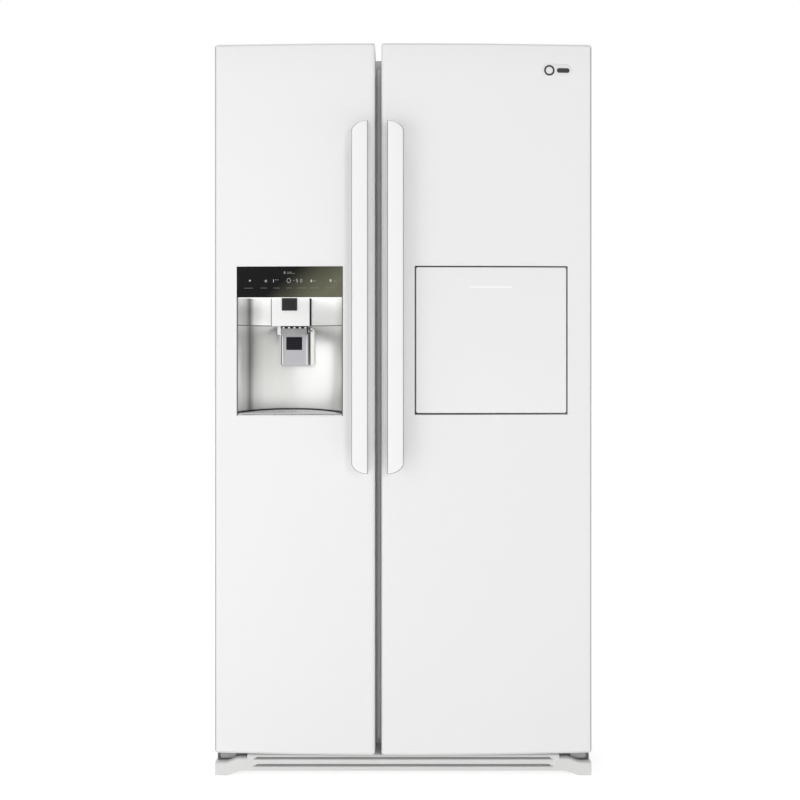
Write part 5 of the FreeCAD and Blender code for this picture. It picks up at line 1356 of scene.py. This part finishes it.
def feet_and_rollers():
    """Ribbed foot pads on threaded studs, and two treaded rollers."""
    for side, sign in (("left", -1), ("right", 1)):
        centre = (sign * 420, -205, 0)
        profile = [(14, 0), (18.4, 0), (19, 0.8), (19, 3.2), (18.2, 3.8), (18.2, 4.6), (19, 5.2), (19, 6.6),
                   (17.6, 7.6), (12, 9), (5.2, 9)]
        hexagon = [(8.4, 8.6), (9, 9.2), (9, 13.4), (8.2, 14)]
        thread = ((4.35, 14), (4.95, 14.5), (4.95, 14.8))
        stud = [(radius, rise + i * 1.45) for i in range(14) for radius, rise in thread]
        node = f"levelling_leg_{side}"
        piece(f"foot_pad_{side}", lathe_mesh(profile, centre, "z", 40), "foot", node, hides=True)
        piece(f"foot_stud_{side}", [lathe_mesh(hexagon, centre, "z", 6), lathe_mesh(stud, centre, "z", 20)],
              "pin", node)
        low, high = box(f"rear_roller_{side}")
        profile = [(4.05, 0), (7, 0), (7.5, 2.5), (13, 2.5), (13.6, 0), (16.4, 0), (18, 1.8), (18, 7),
                   (17.4, 7.6), (17.4, 8.6), (18, 9.2), (18, 12.8), (17.4, 13.4), (17.4, 14.4), (18, 15),
                   (18, 20.2), (16.4, 22), (13.6, 22), (13, 19.5), (7.5, 19.5), (7, 22), (4.05, 22)]
        at = (low.x, (low.y + high.y) / 2, (low.z + high.z) / 2)
        node = f"rear_roller_{side}"
        piece(f"roller_wheel_{side}", lathe_mesh(profile, at, "x", 40, bored=True), "foot", node, hides=True,
              smooth=40)
        spokes = [soft_block((low.x + 1, at[1] - 1.2, at[2] + start),
                             (high.x - 1, at[1] + 1.2, at[2] + start + 7.4), 0.5, along="x")
                  for start in (-13.4, 6)]
        piece(f"roller_ribs_{side}", spokes, "foot", node)


def compressor():
    """Welded two-part housing with a weld bead, on two foot plates and four rubber mounts."""
    x, y = 250, 275
    dome = [(60, 60), (68, 60.8), (75, 65), (78, 73), (78, 128), (79.4, 129.5), (79.4, 132.5), (78, 134),
            (77.4, 150), (74, 166), (67, 181), (56, 193), (41, 202), (22, 208), (3, 210)]
    parts = [lathe_mesh(dome, (x, y, 0), "z", 56)]
    for a in (-1, 1):
        for b in (-1, 1):
            parts.append(lathe_mesh([(9, 42), (11, 44), (11, 56), (8, 62)], (x + a * 56, y + b * 42, 0), "z",
                                    20))
        parts.append(soft_block((x + a * 56 - 12, y - 55, 57), (x + a * 56 + 12, y + 55, 61), 1.5, corner=8))
    piece("compressor_housing", parts, "black_metal", "compressor", hides=True, smooth=40)


# ---------------------------------------------------------------- compartment fittings
def ice_fittings():
    """Ice maker with its cups and feeler arm, bucket with its outlet, and the louvred air duct cover."""
    low, high = box("ice_maker")
    body_high = Vector((high.x, 180, high.z))
    cup = loop(0, 24, 0, 60, 6, 3)
    parts = [soft_block((low.x, low.y, low.z), (high.x, body_high.y, high.z - 24), 6),
             soft_block((high.x - 34, low.y, low.z), (high.x, body_high.y, high.z), 6),
             soft_block((low.x + 12, 178, high.z - 20), (high.x - 12, high.y, high.z - 14), 1)]
    for i in range(7):
        x, y = low.x + (8 + i * 30), low.y + 10
        rings = [[(x + a, y + b, z) for a, b in cup] for z in (high.z - 30, high.z)]
        inner = [[(x + 12 + (a - 12) * s, y + 30 + (b - 30) * (1 - (1 - s) * 0.4), z) for a, b in cup]
                 for s, z in ((0.88, high.z), (0.6, high.z - 24))]
        parts.append(loft_mesh(rings + inner))
    piece("ice_maker_body", parts, "trim", "ice_maker", hides=True, smooth=40)
    arm = bpy.data.curves.new("ice_feeler_arm", "CURVE")
    arm.dimensions = "3D"
    arm.bevel_depth = 1.6 * MM
    arm.bevel_resolution = 3
    right, left = high.x - 20, low.x + 30
    points = [(right, 58, 1420), (right, 44, 1400), (right, 40, 1372), (left, 40, 1372), (left, 44, 1400),
              (left, 62, 1420)]
    spline = arm.splines.new("NURBS")
    spline.points.add(len(points) - 1)
    for point, place in zip(spline.points, points):
        point.co = (*(Vector(place) * MM), 1)
    spline.order_u = 3
    spline.use_endpoint_u = True
    wire = bpy.data.objects.new("ice_feeler_arm", arm)
    arm.materials.append(M["pin"])
    scene.collection.objects.link(wire)
    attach(wire, BODY_OF["ice_maker"])

    low, high = box("ice_bucket")
    verts, faces = tub_mesh((low.x, low.y + 4, low.z), high, 12, 3, 10)
    front = soft_block(low, (high.x, low.y + 7, high.z), 3, along="y", corner=14)
    piece("bucket_tub", [(verts, faces), front], "crisper", "ice_bucket", hides=True, smooth=40)
    chute_low, chute_high = Vector((-303, 0, 1077)), Vector((-229, 0, 1148))
    collar = [(0, low.y - 0.5), (-6, low.y - 0.5), (-6, low.y + 9), (0, low.y + 9)]
    ring_sweep("bucket_outlet_collar", chute_low, chute_high, collar, "trim", "ice_bucket", 6)
    # Painted shade: a dark plate inside the outlet collar, for the shaded opening.
    mouth = soft_block((chute_low.x + 4, low.y - 0.1, chute_low.z + 4),
                       (chute_high.x - 4, low.y + 2, chute_high.z - 4), 0.4, along="y")
    piece("bucket_outlet_shade", mouth, "dark", "ice_bucket")
    grip = soft_block((low.x + 60, low.y - 0.2, high.z - 30), (high.x - 60, low.y + 10, high.z + 0.2), 3,
                      along="x")
    piece("bucket_grip", grip, "trim", "ice_bucket")

    low, high = box("evaporator_cover")
    panel = soft_block((low.x + 0.5, low.y, low.z + 0.5), (high.x - 0.5, high.y, high.z), 1.2, along="y",
                       corner=10)
    louvres, gap_shades = [panel], []
    left, right = low.x + 70, high.x - 70
    for z in (480, 930, 1340):
        gap_shades += block_row(5, (0, 0, 12), (left, low.y - 0.3, z), (right, low.y + 1, z + 5), 0.2, along="x")
        louvres += block_row(5, (0, 0, 12), (left - 2, low.y - 3.5, z + 4), (right + 2, low.y + 1, z + 8),
                             1.4, along="x")
    piece("duct_cover_moulded", louvres, "liner", "evaporator_cover", hides=True, smooth=40)
    # Painted shade: dark strips in the louvre gaps, for the dark duct behind them.
    piece("duct_cover_gap_shade", gap_shades, "dark", "evaporator_cover")


def lamps():
    """Ribbed lamp lenses in slim frames on each ceiling."""
    frames, lenses = [], []
    for low, high in split_boxes("compartment_lamps"):
        frames.append(soft_block((low.x - 3, low.y - 3, high.z - 4), (high.x + 3, high.y + 3, high.z), 1.5,
                                 corner=8))
        lenses.append(soft_block(low, (high.x, high.y, high.z - 2), 5, corner=9))
        lenses += block_row(9, (8, 0, 0), (low.x + 7, low.y + 5, low.z - 0.4),
                            (low.x + 9, high.y - 5, low.z + 3), 0.8, along="y")
    piece("lamp_frames", frames, "trim", "compartment_lamps")
    piece("lamp_lenses", lenses, "lens", "compartment_lamps", hides=True, smooth=40)


def home_bar_inside():
    """Moulded shelf on the back of the panel with its seal, and the frame round the opening."""
    low, high = box("home_bar_inner")
    base, top = low.y, high.y
    edge, dish, deep, corner = 4, 18, 12, 16

    def ring(inset, y, radius):
        pairs = loop(low.x + inset, high.x - inset, low.z + inset, high.z - inset, radius, 8)
        return [(x, y, z) for x, z in pairs]

    turn = quarter(5)
    rings = [ring(0, base, corner)]
    rings += [ring(edge * (1 - cosine), top - edge + edge * sine, corner) for sine, cosine in turn]
    rings += [ring(dish + edge * sine, top - edge * (1 - cosine), corner - 2) for sine, cosine in turn]
    rings += [ring(dish + edge + 1 + edge * (1 - cosine), top - deep + edge * (1 - sine), corner - 6)
              for sine, cosine in turn]
    piece("bar_shelf_moulded", loft_mesh(rings), "liner", "home_bar_inner", hides=True, smooth=40)
    grips = block_row(10, (0, 0, 24), (low.x + 40, top - deep - 0.4, low.z + 45),
                      (high.x - 40, top - deep + 0.9, low.z + 48), 0.6, along="x")
    piece("bar_shelf_grips", grips, "trim", "home_bar_inner")
    section = [(9, base - 0.2), (9, base + 1.2), (7.4, base + 2.4), (4.6, base + 2.4), (3, base + 1.2),
               (3, base - 0.2)]
    ring_sweep("bar_shelf_seal", low, high, section, "gasket", "home_bar_inner", corner)

    low, high = box("home_bar_frame")
    ledge_y, outer_y, lip_y = -311, -308, 1.4

    def frame_ring(hole, grow, radius, y):
        """Points round a hole; a y above zero is measured from the door front."""
        hole_low, hole_high = hole
        pairs = loop(hole_low.x - grow, hole_high.x + grow, hole_low.z - grow, hole_high.z + grow, radius, 6)
        return [(x, front_y(x) + y if y > 0 else y, z) for x, z in divided(pairs, 24)]

    front = ((2.9, 4, outer_y), (2.9, 4, lip_y), (0, 2, lip_y), (0, 2, ledge_y - 1), (-1, 2, ledge_y))
    back = ((-1, ledge_y), (-3, ledge_y + 2), (-3, high.y - 1), (-2, high.y), (-1, high.y), (0, high.y - 1),
            (0, outer_y))
    rings = [frame_ring(BAR_HOLE, *stop) for stop in front]
    rings += [frame_ring(BAR_CASE, grow, 8, y) for grow, y in back]
    piece("bar_frame_moulded", loft_mesh(rings, closed=True), "groove", "home_bar_frame", hides=True,
          smooth=35)


def dairy_cover():
    """Curved clear lid on its hinge barrel, with a finger lip."""
    low, high = box("dairy_lid")
    axis_y, axis_z = -150, 1566
    count, bow, half_thick = 14, 4, 1.3
    line = [(axis_y + bow * math.sin(math.pi * i / count), low.z + (axis_z - low.z) * i / count)
            for i in range(count + 1)]
    ring = [(y + half_thick, z) for y, z in line] + [(y - half_thick, z) for y, z in line[::-1]]
    leaf = loft_mesh([[(x, y, z) for y, z in ring] for x in (low.x + 0.5, high.x - 0.5)])
    lip = soft_block((low.x + 0.5, axis_y - 2, low.z), (high.x - 0.5, axis_y + 4, low.z + 5), 1.6, along="x")
    barrel = lathe_mesh([(2.1, 0), (4.4, 0), (4.4, high.x - low.x), (2.1, high.x - low.x)],
                        (low.x, axis_y, axis_z), "x", 24, bored=True)
    piece("dairy_lid_curved", [leaf, barrel], "bin", "dairy_lid", hides=True, smooth=40)
    piece("dairy_lid_lip", lip, "trim", "dairy_lid")


# ---------------------------------------------------------------- build everything
clearance = Vector((0.3, 0, 0.3))
door_skin("freezer", (DISP_LOW - clearance, DISP_HIGH + clearance))
door_skin("fridge", BAR_HOLE)
for side in DOORS:
    for build in (door_caps, handle, gasket, compartment, shelves, bins):
        build(side)
for build in (recess, control_panel, panel_marks, hood_and_nozzle, ice_outlet, paddle, drip_tray, home_bar,
              base_cover, lower_hinges, name_plate):
    build()
for node in ("freezer_drawer", "crisper_lower", "crisper_upper"):
    drawer(node)
for side in DOORS:
    door_edge(side)
for build in (mullion_lit_strip, cabinet_shell, back_sheet, rear_cover, hinge_covers, feet_and_rollers, compressor,
              ice_fittings, lamps, home_bar_inside, dairy_cover):
    build()
inner_liner("freezer", CHUTE_HOLE)
inner_liner("fridge", BAR_CASE)


# ---------------------------------------------------------------- studio
def studio():
    mesh = bpy.data.meshes.new("studio_floor")
    size = 30.0
    mesh.from_pydata([(-size, -size, 0), (size, -size, 0), (size, size, 0), (-size, size, 0)], [],
                     [(0, 1, 2, 3)])
    floor = bpy.data.objects.new("studio_floor", mesh)
    mesh.materials.append(surface("studio_floor_paint", (0.90, 0.90, 0.90), 0.7, vary=0.004, patch=0.6,
                                  grain=40, bump=0.01, spec=0.15, glow=((1, 1, 1), 0.40)))
    scene.collection.objects.link(floor)

    world = bpy.data.worlds.new("studio_light")
    scene.world = world
    world.use_nodes = True
    tree = world.node_tree
    background = tree.nodes["Background"]
    coords = add(tree, "ShaderNodeTexCoord").outputs["Generated"]
    split = add(tree, "ShaderNodeSeparateXYZ")
    tree.links.new(coords, split.inputs[0])

    def band(colour, start, end, mix):
        """Blend towards a colour between two values of the direction's X."""
        return blend_colours(tree, spread(tree, split.outputs["X"], 0.0, 1.0, start, end), mix, colour)

    gloss = band((0.74, 0.74, 0.725), -0.35, 0.05, (1.30, 1.30, 1.31))
    gloss = band((0.66, 0.66, 0.65), 0.45, 0.60, gloss)
    gloss = band((0.10, 0.10, 0.11), 0.80, 0.90, gloss)
    soft = band((0.53, 0.53, 0.53), -0.85, -0.45, (0.36, 0.36, 0.365))
    soft = band((0.36, 0.36, 0.365), 0.45, 0.85, soft)
    behind = spread(tree, split.outputs["Y"], 0.0, 1.0, 0.2, 0.7)
    soft = blend_colours(tree, behind, soft, (0.70, 0.70, 0.70))
    above = spread(tree, split.outputs["Z"], 0.0, 1.0, 0.55, 0.95)
    soft = blend_colours(tree, above, soft, (0.85, 0.85, 0.85))
    rays = add(tree, "ShaderNodeLightPath")
    room = blend_colours(tree, rays.outputs["Is Diffuse Ray"], gloss, soft)
    room = blend_colours(tree, rays.outputs["Is Camera Ray"], room, (1.0, 1.0, 1.0))
    tree.links.new(room, background.inputs["Color"])
    background.inputs["Strength"].default_value = 1.0

    def area(name, place, target, size, power):
        light = bpy.data.lights.new(name, "AREA")
        light.shape = "RECTANGLE"
        light.size, light.size_y = size
        light.energy = power
        obj = bpy.data.objects.new(name, light)
        obj.location = place
        obj.rotation_euler = (Vector(target) - Vector(place)).to_track_quat("-Z", "Y").to_euler()
        obj.visible_glossy = False
        scene.collection.objects.link(obj)

    area("key_softbox", (1.35, -3.9, 1.9), (0, 0, 1.0), (0.5, 1.2), 22)
    area("fill_softbox", (-1.5, -1.8, 1.0), (-0.3, 0, 0.9), (0.9, 1.4), 7)
    area("rear_softbox", (-1.8, 3.2, 2.4), (0, 0, 0.9), (2.0, 2.0), 14)

    camera_data = bpy.data.cameras.new("camera")
    camera_data.lens = 47.5
    camera_data.sensor_width = 36
    camera_data.shift_y = -0.0537
    camera = bpy.data.objects.new("camera", camera_data)
    camera.location = (-7.6 * MM, (APEX + SAG) * MM - 2.5, 0.995)
    camera.rotation_euler = (math.radians(90), 0, 0)
    scene.collection.objects.link(camera)
    scene.camera = camera
    scene.view_settings.view_transform = "Standard"


studio()
